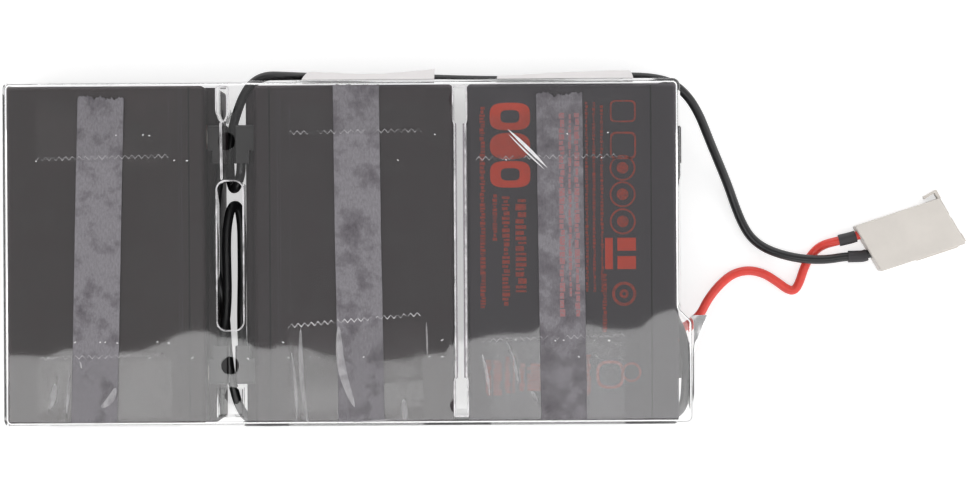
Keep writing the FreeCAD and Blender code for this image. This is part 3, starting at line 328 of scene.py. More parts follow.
@dataclass(frozen=True)
class TinnedBrass(Finish):
    """Stamped and tin-plated brass: satin metal with fine die lines along the strip."""

    name: str = "tinned brass, stamped"
    colour: str = "C9C6BE"
    roughness: float = 0.32
    die_line: float = 0.5 * MM

    def surface(self, tree: Tree) -> Socket:
        """Add the nodes. Die lines: noise squeezed along Z, as roughness and bump.

        Args:
            tree: the material's node tree.

        Returns:
            The shader.
        """
        place = add_node(tree, "TexCoord").outputs["Object"]
        along = add_node(tree, "Mapping", inputs={"Vector": place, "Scale": (1.0, 1.0, 0.15)})
        lines = add_noise(tree, along.outputs[0], self.die_line)
        polish = add_range(tree, lines, (0.0, 1.0), (self.roughness * 0.7, self.roughness * 1.3))
        bump = add_node(tree, "Bump", inputs={"Height": lines, "Distance": 0.01 * MM})
        return add_node(tree, "BsdfPrincipled", inputs={
            "Base Color": linear(self.colour), "Metallic": 1.0, "Roughness": polish,
            "Normal": bump.outputs[0]}).outputs[0]


@dataclass(frozen=True)
class ClearSheet(Finish):
    """Clear thermoformed PET or packing film: see-through, glossy, never quite flat.

    The broad face sags a little between its pockets, so what it mirrors has a wavy edge. The sag is a
    height of tilt(x) * (y - sag_line), kept within sag_reach of the line, plus slow ripples. The tilt is
    a curve drawn along the row: X in millimetres, and the share of sag_tilt in fortieths.
    """

    reflect: float = 1.0
    roughness: float = 0.02
    haze: float = 0.012
    ripple: float = 0.004 * MM
    ripple_size: float = 16.0 * MM
    sag_line: float = -41.0 * MM
    sag_reach: float = 22.0 * MM
    half_row: float = 155.0 * MM
    sag_tilt: float = 0.01
    sag: tuple[Flat, ...] = (
        (-155, -6.0), (-144, -5.9), (-135, -6.3), (-125, -3.0), (-103, -5.0), (-85, -1.0), (-66, 4.1),
        (-58, 1.7), (-48, 0.4), (-36, -3.5), (-31, -2.3), (-6, -7.6), (21, -9.0), (32, -7.2), (43, -5.4),
        (45, -2.3), (55, -0.5), (68, 2.2), (81, 3.1), (88, 6.6), (105, 6.8), (117, 4.4), (126, 4.0),
        (134, 8.0), (139, 11.5), (155, 14.5))

    def height(self, tree: Tree) -> Socket:
        """Add the nodes of the sag and ripples.

        Args:
            tree: the material's node tree.

        Returns:
            The height in metres.
        """
        place = add_node(tree, "TexCoord").outputs["Object"]
        axes = add_node(tree, "SeparateXYZ", inputs={0: place})
        along = add_range(tree, axes.outputs[0], (-self.half_row, self.half_row), (0.0, 1.0))
        curve = add_node(tree, "FloatCurve", inputs={"Value": along})
        drawn = curve.mapping.curves[0].points
        for _ in range(len(self.sag) - len(drawn)):
            drawn.new(0.5, 0.5)
        for point, (x, shift) in zip(drawn, self.sag):
            point.location = (x * MM / self.half_row / 2 + 0.5, 0.5 + shift / 40)
        curve.mapping.update()
        tilt = add_range(tree, curve.outputs[0], (0.0, 1.0), (-self.sag_tilt, self.sag_tilt))
        near = (self.sag_line - self.sag_reach, self.sag_line + self.sag_reach)
        across = add_range(tree, axes.outputs[1], near, (-self.sag_reach, self.sag_reach))
        sag = add_node(tree, "Math", {"operation": "MULTIPLY"}, {0: tilt, 1: across})
        slow = add_noise(tree, place, self.ripple_size, 0.0)
        return add_node(tree, "Math", {"operation": "MULTIPLY_ADD"}, {
            0: slow, 1: self.ripple, 2: sag.outputs[0]}).outputs[0]

    def surface(self, tree: Tree) -> Socket:
        """Add the nodes: transparent and glossy mixed by Fresnel, with a trace of white haze.

        Args:
            tree: the material's node tree.

        Returns:
            The shader.
        """
        bump = add_node(tree, "Bump", inputs={"Height": self.height(tree), "Distance": 1.0})
        edge = add_node(tree, "Fresnel", inputs={"IOR": 1.57, "Normal": bump.outputs[0]})
        share = add_node(tree, "Math", {"operation": "MULTIPLY", "use_clamp": True}, {
            0: edge.outputs[0], 1: self.reflect})
        clear = add_node(tree, "BsdfTransparent", inputs={"Color": WHITE})
        white = add_node(tree, "BsdfDiffuse", inputs={"Color": linear("F4F4F6")})
        body = add_mix(tree, self.haze, clear.outputs[0], white.outputs[0])
        gloss = add_node(tree, "BsdfGlossy", inputs={
            "Color": WHITE, "Roughness": self.roughness, "Normal": bump.outputs[0]})
        return add_mix(tree, share.outputs[0], body, gloss.outputs[0])


@dataclass(frozen=True)
class WetOutTape(Finish):
    """Double-sided tape on the tray: a grey, finely grained adhesive with darker wetted-out patches.

    The pattern follows the strip's own UV, in millimetres: u across and v along it.
    """

    pale: str = "827F84"
    dark: str = "565157"
    patch: float = 12.0
    grain: float = 1 / 1.3
    seed: float = 0.0
    cover: float = 0.5

    def surface(self, tree: Tree) -> Socket:
        """Add the nodes. Slow noise through a soft ramp gives the patches, and a long grain lies on it.

        Args:
            tree: the material's node tree.

        Returns:
            The shader.
        """
        place = add_node(tree, "UVMap").outputs[0]
        moved = add_node(tree, "Mapping", inputs={"Vector": place, "Location": (self.seed, self.seed, 0.0)})
        patches = add_noise(tree, moved.outputs[0], self.patch, 7.0, 0.6)
        along = add_node(tree, "Mapping", inputs={"Vector": moved.outputs[0], "Scale": (1.0, 0.4, 1.0)})
        grain = add_noise(tree, along.outputs[0], self.grain, 3.0, 0.7)
        edge = 0.60 - self.cover * 0.2
        ramp = set_ramp(add_node(tree, "ValToRGB", inputs={0: patches}),
                        [(0.30, 0.0), (edge, 0.55), (edge + 0.06, 0.9), (0.8, 1.0)])
        light = add_blend(tree, ramp, linear(self.dark), linear(self.pale))
        level = add_range(tree, grain, (0.3, 0.7), (0.82, 1.2))
        colour = add_node(tree, "VectorMath", {"operation": "SCALE"}, {0: light, "Scale": level})
        bump = add_node(tree, "Bump", inputs={"Height": grain, "Distance": 0.03 * MM})
        return add_node(tree, "BsdfPrincipled", inputs={
            "Base Color": colour.outputs[0], "Roughness": 0.6, "Normal": bump.outputs[0],
            "IOR": 1.47}).outputs[0]


@dataclass(frozen=True)
class PaintedLightFilm(Finish):
    """Film with painted light, white or grey in part and clear in part: highlights on edges, folds and air,
    shade on walls.
    """

    white: float
    least: float = 0.0
    patch: float = 2.5 * MM
    colour: str = "F6F4F6"
    glow: float = 0.0

    def surface(self, tree: Tree) -> Socket:
        """Add the nodes. Noise from least to white is the share of white; glow is how glossy that is.

        Args:
            tree: the material's node tree.

        Returns:
            The shader.
        """
        place = add_node(tree, "TexCoord").outputs["Object"]
        patches = add_noise(tree, place, self.patch)
        share = add_range(tree, patches, (0.35, 0.62), (self.least, self.white))
        clear = add_node(tree, "BsdfTransparent", inputs={"Color": WHITE})
        gloss = add_node(tree, "BsdfGlossy", inputs={"Color": linear(self.colour), "Roughness": 0.35})
        white = add_node(tree, "BsdfDiffuse", inputs={"Color": linear(self.colour)})
        solid = add_mix(tree, self.glow, white.outputs[0], gloss.outputs[0])
        return add_mix(tree, share, clear.outputs[0], solid)


@dataclass(frozen=True)
class PrintedInk(Finish):
    """Red pad-printed ink on a dark case: thin, a little patchy, duller than the case."""

    colour: str
    under: str
    worn: float = 0.3
    speck: float = 0.9 * MM

    def surface(self, tree: Tree) -> Socket:
        """Add the nodes. Wear: noise at the speck's size shows the case through the ink.

        Args:
            tree: the material's node tree.

        Returns:
            The shader.
        """
        place = add_node(tree, "TexCoord").outputs["Object"]
        specks = add_noise(tree, place, self.speck, 3.0)
        bare = add_range(tree, specks, (0.42, 0.70), (0.0, self.worn * 2))
        colour = add_blend(tree, bare, linear(self.colour), linear(self.under))
        return add_node(tree, "BsdfPrincipled", inputs={
            "Base Color": colour, "Roughness": 0.6, "IOR": 1.5}).outputs[0]


@dataclass(frozen=True)
class Paper(Finish):
    """The floor's paper: it keeps the object's shadow, and is white to the eye elsewhere."""

    glow: float
    colour: str = "D8D8D8"
    fibre: float = 1 / 900

    def surface(self, tree: Tree) -> Socket:
        """Add the nodes: grey diffuse paper, which glows for what the eye sees, straight or in the film.

        Args:
            tree: the material's node tree.

        Returns:
            The shader.
        """
        path = add_node(tree, "LightPath")
        seen = add_node(tree, "Math", {"operation": "MAXIMUM"}, {
            0: path.outputs["Is Camera Ray"], 1: path.outputs["Is Glossy Ray"]})
        seen = add_node(tree, "Math", {"operation": "MAXIMUM"}, {
            0: seen.outputs[0], 1: path.outputs["Is Transmission Ray"]})
        place = add_node(tree, "TexCoord").outputs["Object"]
        fibres = add_noise(tree, place, self.fibre, 3.0)
        bump = add_node(tree, "Bump", inputs={"Height": fibres, "Distance": 0.02 * MM})
        paper = add_node(tree, "BsdfDiffuse", inputs={
            "Color": linear(self.colour), "Normal": bump.outputs[0]})
        glow = add_node(tree, "Emission", inputs={"Color": WHITE, "Strength": self.glow})
        both = add_node(tree, "AddShader", inputs={0: paper.outputs[0], 1: glow.outputs[0]})
        return add_mix(tree, seen.outputs[0], paper.outputs[0], both.outputs[0])


class Battery(Enum):
    """The three batteries, by their number in the row, with their case colours."""

    FIRST = (1, "42383A")
    MIDDLE = (2, "41373B")
    LAST = (3, "49434A")

    @property
    def number(self) -> int:
        """The battery's number."""
        return self.value[0]

    @property
    def colour(self) -> str:
        """The case's colour."""
        return self.value[1]


# Studio.


@dataclass
class SoftBox:
    """One soft lamp: its place, what it looks at, its two sides and its radiance."""

    name: str
    place: Point
    target: Point
    size: Flat
    radiance: float

    def build(self) -> None:
        """Add the lamp. A flat lamp's power is its radiance times its area times pi."""
        light = bpy.data.lights.new(self.name, "AREA")
        light.shape = "RECTANGLE"
        light.size, light.size_y = self.size
        light.energy = self.radiance * self.size[0] * self.size[1] * math.pi
        lamp = bpy.data.objects.new(self.name, light)
        bpy.context.scene.collection.objects.link(lamp)
        lamp.location = self.place
        gaze = Vector(self.target) - Vector(self.place)
        lamp.rotation_euler = gaze.to_track_quat("-Z", "Y").to_euler()
        lamp.visible_camera = False


@dataclass
class Studio:
    """Camera, white floor, soft world and lamps."""

    camera_place: Point = (0.0605, 0.0009, 1.5665)
    camera_turn: float = -0.0061
    lens: float = 125.14
    sensor: float = 36.0
    floor_reach: float = 5.0
    floor_depth: float = 0.2 * MM
    floor_glow: float = 0.58
    overhead: float = 0.30
    around: float = 1.12
    fade: Flat = (0.45, 0.92)
    lamps: list[SoftBox] = field(default_factory=lambda: [
        SoftBox("card above the front", (0.0, -0.667, 3.0), (0.0, -0.667, 0.0), (3.0, 1.1), 2.05),
        SoftBox("strip on the left", (-1.25, 0.0, 0.55), (0.0, 0.0, 0.03), (0.2, 1.2), 1.2),
        SoftBox("strip on the right", (1.35, 0.0, 0.55), (0.1, 0.0, 0.03), (0.2, 1.2), 2.0),
        SoftBox("strip behind", (0.0, 1.2, 0.55), (0.0, 0.0, 0.03), (1.6, 0.2), 2.0),
        SoftBox("strip in front", (0.0, -1.2, 0.45), (0.0, 0.0, 0.03), (1.6, 0.2), 1.5),
    ])

    def build(self) -> None:
        """Add the whole studio."""
        self.add_camera()
        self.add_floor()
        self.add_world()
        for lamp in self.lamps:
            lamp.build()
        bpy.context.scene.view_settings.view_transform = "Standard"

    def add_camera(self) -> None:
        """Add the camera, which looks straight down."""
        data = bpy.data.cameras.new("camera")
        data.lens = self.lens
        data.sensor_width = self.sensor
        camera = bpy.data.objects.new("camera", data)
        bpy.context.scene.collection.objects.link(camera)
        camera.location = self.camera_place
        camera.rotation_euler = (0.0, 0.0, self.camera_turn)
        bpy.context.scene.camera = camera

    def add_floor(self) -> None:
        """Add the floor."""
        reach = self.floor_reach
        corners = [(x, y, -self.floor_depth) for x, y in (
            (-reach, -reach), (reach, -reach), (reach, reach), (-reach, reach))]
        mesh = bpy.data.meshes.new("floor")
        mesh.from_pydata(corners, [], [(0, 1, 2, 3)])
        floor = bpy.data.objects.new("floor", mesh)
        bpy.context.scene.collection.objects.link(floor)
        mesh.materials.append(Paper("white paper sweep", self.floor_glow).material())

    def add_world(self) -> None:
        """Add the world: dim overhead, brighter around, and white where the eye sees it directly."""
        world = bpy.data.worlds.new("studio")
        world.use_nodes = True
        tree = world.node_tree
        tree.nodes.clear()
        direction = add_node(tree, "TexCoord").outputs["Generated"]
        rise = add_node(tree, "SeparateXYZ", inputs={0: direction})
        level = add_range(tree, rise.outputs[2], self.fade, (self.around, self.overhead), "SMOOTHSTEP")
        soft = add_node(tree, "Background", inputs={"Color": WHITE, "Strength": level})
        white = add_node(tree, "Background", inputs={"Color": WHITE, "Strength": 1.0})
        path = add_node(tree, "LightPath")
        surface = add_mix(tree, path.outputs["Is Camera Ray"], soft.outputs[0], white.outputs[0])
        add_node(tree, "OutputWorld", inputs={0: surface})
        bpy.context.scene.world = world


# The cartridge.


@dataclass
class Dresser:
    """Gives CAD nodes their finishes."""

    nodes: dict[str, bpy.types.Object]

    def dress(self, material: bpy.types.Material, *names: str) -> None:
        """Give the named nodes one material.

        Args:
            material: the finish.
            names: the nodes' names.
        """
        for name in names:
            node = self.nodes[name]
            for place in node.material_slots:
                place.material = material


@dataclass
class FlatShapes:
    """Flat simple shapes collected into one sheet at one height."""

    level: float
    points: list[np.ndarray] = field(default_factory=list)
    faces: list[np.ndarray] = field(default_factory=list)
    count: int = 0

    def add(self, points: np.ndarray, faces: np.ndarray) -> None:
        """Add one shape.

        Args:
            points: X and Y in millimetres, one vertex a row.
            faces: four vertex numbers a row, counted from the shape's first vertex.
        """
        flat = np.column_stack([points * MM, np.full(len(points), self.level)])
        self.points.append(flat)
        self.faces.append(faces + self.count)
        self.count += len(points)

    def bar(self, low: Flat, high: Flat) -> None:
        """Add a rectangle from its lowest to its highest corner, in millimetres."""
        corners = np.array([low, (high[0], low[1]), high, (low[0], high[1])], float)
        self.add(corners, np.array([[0, 1, 2, 3]]))

    def ring(self, centre: Flat, outer: float, inner: float, squareness: float = 2.0,
             stretch: float = 1.0) -> None:
        """Add a ring: the superellipse |x|^n + |y|^n = r^n between two radii, round or nearly square.

        Args:
            centre: X and Y in millimetres.
            outer: outer radius in millimetres.
            inner: inner radius in millimetres, 0 for a full disc.
            squareness: the power n, 2 for round.
            stretch: length along Y over length along X.
        """
        angles = np.radians(np.linspace(0.0, 360.0, RING_SIDES + 1))
        cos, sin = np.cos(angles), np.sin(angles)
        reach = (np.abs(cos) ** squareness + np.abs(sin) ** squareness) ** (-1 / squareness)
        edge = np.column_stack([cos * reach, sin * reach * stretch])
        points = np.concatenate([edge * max(inner, 0.01), edge * outer]) + centre
        first = np.arange(RING_SIDES)
        outside = first + RING_SIDES + 1
        self.add(points, np.stack([first, outside, outside + 1, first + 1], axis=1))

    def dashes(self, x: Flat, y: Flat, seed: int, dash: Flat = (0.4, 1.6), gap: float = 0.4) -> None:
        """Add a column of dashes, some set in at one end, that stands for a line of small print.

        Args:
            x: lowest and highest X in millimetres.
            y: lowest and highest Y in millimetres.
            seed: seed of the dash lengths.
            dash: shortest and longest dash in millimetres.
            gap: space between dashes in millimetres.
        """
        lengths = np.random.default_rng(seed).uniform(*dash, 200)
        starts = y[0] + np.concatenate([[0.0], np.cumsum(lengths + gap)[:-1]])
        width = x[1] - x[0]
        insets = np.random.default_rng(seed + 100).choice([0.0, 0.0, 0.22], (200, 2)) * width
        for start, length, (left, right) in zip(starts, lengths, insets):
            if start + length < y[1]:
                self.bar((x[0] + left, start), (x[1] - right, start + length))

    def blade(self, start: Flat, end: Flat, width: float, fullness: float = 0.5, bow: float = 0.0) -> None:
        """Add a long leaf whose half width is width / 2 * sin(pi t) to the power fullness.

        Args:
            start: X and Y of one tip in millimetres.
            end: X and Y of the other tip in millimetres.
            width: widest place in millimetres.
            fullness: 1 for a slim leaf, less for blunt tips.
            bow: sideways bend of the middle in millimetres.
        """
        t = np.linspace(0, 1, LEAF_STEPS + 1)
        run = np.array(end) - np.array(start)
        line = np.array(start) + t[:, None] * run
        side = np.array([-run[1], run[0]]) / np.hypot(*run)
        half = np.maximum(np.sin(np.pi * t), 1e-3) ** fullness * width / 2
        middle = line + side * (bow * np.sin(np.pi * t))[:, None]
        points = np.concatenate([middle + side * half[:, None], middle - side * half[:, None]])
        first = np.arange(LEAF_STEPS)
        below = first + LEAF_STEPS + 1
        self.add(points, np.stack([below, below + 1, first + 1, first], axis=1))

    def zigzag(self, start: Flat, end: Flat, pitch: float, depth: float, width: float) -> None:
        """Add a ribbon along a triangle wave, the edge that a tape cutter's teeth leave.

        Args:
            start: X and Y of its first end in millimetres.
            end: X and Y of its last end in millimetres.
            pitch: tooth spacing in millimetres.
            depth: tooth depth in millimetres.
            width: ribbon width in millimetres.
        """
        count = max(4, round(abs(end[0] - start[0]) / pitch) * 2)
        x = np.linspace(start[0], end[0], count + 1)
        y = np.linspace(start[1], end[1], count + 1) + (np.arange(count + 1) % 2) * depth
        points = np.concatenate([np.column_stack([x, y]), np.column_stack([x, y + width])])
        first = np.arange(count)
        self.add(points, np.stack([first, first + 1, first + count + 2, first + count + 1], axis=1))

    def build(self, name: str, finish: Finish, slot: str, wall: float = 0.02 * MM) -> None:
        """Make the sheet's piece.

        Args:
            name: the piece's name.
            finish: its finish.
            slot: not used.
            wall: its thickness in metres.
        """
        points = np.concatenate(self.points)
        faces = np.concatenate(self.faces)
        give_wall(new_piece(name, points, faces, finish.material(), smooth=False), wall)


@dataclass
class BatteryRow:
    """The three batteries with their terminals, receptacles and boots."""

    dresser: Dresser
    face: float
    boots: dict[str, str] = field(default_factory=lambda: {"positive": "2B2527", "negative": "232123"})
    joints: tuple[Flat, ...] = ((-71.0, -1), (-35.0, 1), (135.2, -1))
    joint_half: float = 0.35
    joint_ends: Flat = (-75.2, 74.2)
    # Pale lines beside each joint, painted highlights: distance from the joint and width in millimetres.
    joint_highlights: tuple[Flat, ...] = ((3.4, 0.35), (4.6, 0.25), (9.0, 0.2))
    rib_ends: Flat = (-74.8, 73.8)
    line_wall: float = 0.01 * MM

    def build(self) -> None:
        """Dress the cases, lids and everything on and in them."""
        tin = TinnedBrass().material()
        lead = TinnedBrass("lead grid plates, pasted", "6B6D72", 0.6, 1.2 * MM).material()
        rubber = MouldedPlastic("valve cap, EPDM rubber", "262626", 0.7, 0.4 * MM).material()
        red_seal = MouldedPlastic("epoxy potting, red", "9A2A22", 0.3, 1.0 * MM).material()
        black_seal = MouldedPlastic("epoxy potting, black", "1E1E1F", 0.3, 1.0 * MM).material()
        boots = {pole: MouldedPlastic(f"dipped soft vinyl boot, {pole}", colour, 0.38, 0.8 * MM,
                                      coat=0.2).material() for pole, colour in self.boots.items()}
        for battery in Battery:
            name = f"battery_{battery.number}_"
            # Moulded ABS: a dull, nearly black grey that shows soft highlights on its rounded edges.
            case = MouldedPlastic(f"moulded ABS case {battery.number}", battery.colour, 0.6, 0.5 * MM,
                                  0.004 * MM, 0.13, 11 * MM).material()
            self.dresser.dress(case, name + "case", name + "lid", name + "vent_cover")
            self.dresser.dress(lead, name + "plate_groups")
            self.dresser.dress(rubber, name + "relief_valves")
            for pole, boot in boots.items():
                self.dresser.dress(tin, f"{name}{pole}_terminal", f"{name}{pole}_receptacle")
                self.dresser.dress(boot, f"{name}{pole}_boot")
                self.dresser.dress(red_seal if pole == "positive" else black_seal, f"{name}{pole}_seal")
        self.add_lines()
        LOG.info("batteries dressed")

    def add_lines(self) -> None:
        """Add a dark line at each joint of case and lid, and pale lines at a few steps beside it: painted
        highlights along the joint.

        A joint is its X in millimetres and the way to the case, a pale line its distance and its width.
        """
        joints = FlatShapes(self.face)
        joint_highlights = FlatShapes(self.face)
        joint_front, joint_back = self.joint_ends
        rib_front, rib_back = self.rib_ends
        for joint, away in self.joints:
            joints.bar((joint - self.joint_half, joint_front), (joint + self.joint_half, joint_back))
            for step, width in self.joint_highlights:
                joint_highlights.bar((joint + away * step, rib_front), (joint + away * step + width, rib_back))
        joints.build("battery_joint_lines", MouldedPlastic("solvent-welded ABS joint", "262225", 0.7),
                     "battery_plastic", self.line_wall)
        joint_highlights.build("battery_joint_highlights", MouldedPlastic("painted highlight beside ABS joint", "4C464B", 0.5),
                   "battery_plastic", self.line_wall)


@dataclass
class BatteryPrint:
    """Printed fields on the last battery's broad face: bold forms, columns of dashes and plain rings."""

    face: float
    under: str = Battery.LAST.colour

    def build(self) -> None:
        """Add the bold print, the plain print and the worn print."""
        self.add_bold()
        self.add_plain()
        self.add_worn()
        LOG.info("print added")

    def add_bold(self) -> None:
        """Add the maker's field and the approval fields, as plain forms."""
        strong = FlatShapes(self.face)
        strong.ring((72.4, 60.4), 9.0, 4.2, 3.4, 0.68)
        strong.ring((72.4, 47.2), 9.0, 0.0, 2.6, 0.66)
        strong.ring((72.4, 34.6), 9.0, 4.2, 3.4, 0.66)
        strong.bar((114.5, -8.0), (118.0, 6.0))
        strong.bar((120.0, -8.0), (128.3, -2.2))
        strong.bar((120.0, 0.2), (128.3, 6.0))
        ink = PrintedInk("pad print, bold red", "EE4F30", self.under, 0.08)
        strong.build("print_bold", ink, "battery_plastic")

    def add_plain(self) -> None:
        """Add the lines of small print as columns of dashes, and the signs as rings and frames."""
        plain = FlatShapes(self.face)
        plain.dashes((74.6, 79.4), (-18.0, 25.6), 3, (0.7, 2.9), 0.8)
        plain.dashes((68.6, 72.0), (-24.0, 25.8), 4, (0.5, 1.8), 0.6)
        plain.dashes((64.4, 66.4), (5.0, 25.8), 5)
        plain.dashes((58.8, 61.2), (-25.0, 66.0), 6)
        for centre, stretch in (((122.8, 62.5), 0.85), ((122.8, 47.2), 1.05)):
            plain.ring(centre, 5.8, 5.0, 6.0, stretch)
        for y in (37.2, 25.4, 13.3):
            plain.ring((122.5, y), 5.8, 5.0)
            plain.ring((122.5, y), 2.6, 0.0)
        plain.ring((122.9, -19.0), 5.4, 4.1)
        plain.ring((122.9, -19.0), 2.0, 0.8)
        for seed, x in enumerate((105.9, 109.1, 112.6), start=10):
            plain.dashes((x, x + 1.3), (-18.0, 67.0), seed)
        plain.dashes((113.3, 115.2), (-36.0, -10.0), 20)
        ink = PrintedInk("pad print, thin red", "C24A34", self.under)
        plain.build("print_plain", ink, "battery_plastic")

    def add_worn(self) -> None:
        """Add the columns beside the tape strip, and the blocks and rings near the front edge."""
        faint = FlatShapes(self.face)
        faint.dashes((95.0, 97.6), (-29.0, 65.0), 30)
        faint.dashes((100.8, 103.6), (-29.0, 65.0), 31)
        for left, right, span in ((61, 68, (-64, -47)), (69.5, 74, (-63, -46)), (76, 87, (-62, -49))):
            faint.dashes((left, left + 2.4), span, int(left))
            faint.dashes((left + 3.4, right), span, int(right))
        faint.ring((116.5, -55.0), 6.2, 5.0, 3.0)
        faint.ring((126.0, -54.0), 4.4, 3.4)
        faint.dashes((105.2, 107.8), (-64.0, -46.0), 33)
        ink = PrintedInk("pad print, worn red", "944238", self.under, 0.35)
        faint.build("print_faint", ink, "battery_plastic")


@dataclass(frozen=True)
class Strip:
    """One strip of double-sided tape, in millimetres, with how torn its end is and how covered its face."""

    node: str
    front: Flat
    back: Flat
    torn: float
    cover: float


@dataclass
class PadTapes:
    """Strips of double-sided tape on the tray, with torn ends, and the print that shows through the last."""

    face: float
    thickness: float = 0.12 * MM
    width: float = 20.6
    rows: int = 61
    columns: int = 43
    tear_depth: float = 1.6
    fray_depth: float = 0.35
    front_fray: float = 0.08
    waver_step: float = 0.02
    pattern_step: float = 31.7
    through_rise: float = 0.002 * MM
    through_wall: float = 0.004 * MM
    through_columns: tuple[tuple[Flat, Flat], ...] = (
        ((94.2, 96.6), (-29, 65)), ((98.3, 99.6), (-20, 63)), ((101.0, 103.2), (-29, 65)))
    strips: tuple[Strip, ...] = (
        Strip("pad_tape_1", (-113.75, -75.0), (-110.15, 70.4), 1.0, 0.9),
        Strip("pad_tape_2", (5.4, -75.3), (3.4, 74.8), 0.25, 0.7),
        Strip("pad_tape_3", (95.8, -74.7), (94.55, 71.0), 0.9, 0.45),
    )

    def build(self) -> None:
        """Add the strips and the print."""
        for number, strip in enumerate(self.strips, start=1):
            self.add_strip(number, strip)
        through = FlatShapes(self.face + self.thickness + self.through_rise)
        for seed, (x, y) in enumerate(self.through_columns, start=50):
            through.dashes(x, y, seed, (1.2, 4.0), 0.5)
        ink = PrintedInk("red print under tape", "9C6A6C", "827F84", 0.45)
        through.build("print_through_tape", ink, "foam_tape", self.through_wall)
        LOG.info("double-sided tape added")

    def add_strip(self, number: int, strip: Strip) -> None:
        """Add one strip. Its back end is a straight cut plus a rough edge that noise of two scales draws.

        Args:
            number: the strip's number in the row.
            strip: its places and looks.
        """
        random = np.random.default_rng(number + 4)
        across = np.linspace(-0.5, 0.5, self.columns)[None, :] * self.width
        along = np.linspace(0, 1, self.rows)[:, None]
        coarse = np.convolve(random.normal(0, 1, self.columns + 4), np.ones(5) / 5, "valid")
        rough = coarse * self.tear_depth + random.normal(0, self.fray_depth, self.columns)
        end = strip.back[1] + rough * strip.torn
        start = strip.front[1] + random.normal(0, self.front_fray, self.columns)
        y = start + (end - start) * along
        waver = np.cumsum(random.normal(0, self.waver_step, self.rows))[:, None]
        x = strip.front[0] + (strip.back[0] - strip.front[0]) * along + waver + across
        points = np.stack([x * MM, y * MM, np.full_like(x, self.face)], axis=-1)
        uv = np.stack([across + 0 * y, y], axis=-1)
        finish = WetOutTape(f"double-sided tape, wetted out, strip {number}",
                            seed=self.pattern_step * (number - 1), cover=strip.cover)
        piece = new_piece(f"tape_strip_{number}", points, grid_faces(self.rows, self.columns)[:, ::-1],
                          finish.material(), uv)
        give_wall(piece, self.thickness)
        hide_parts(strip.node)


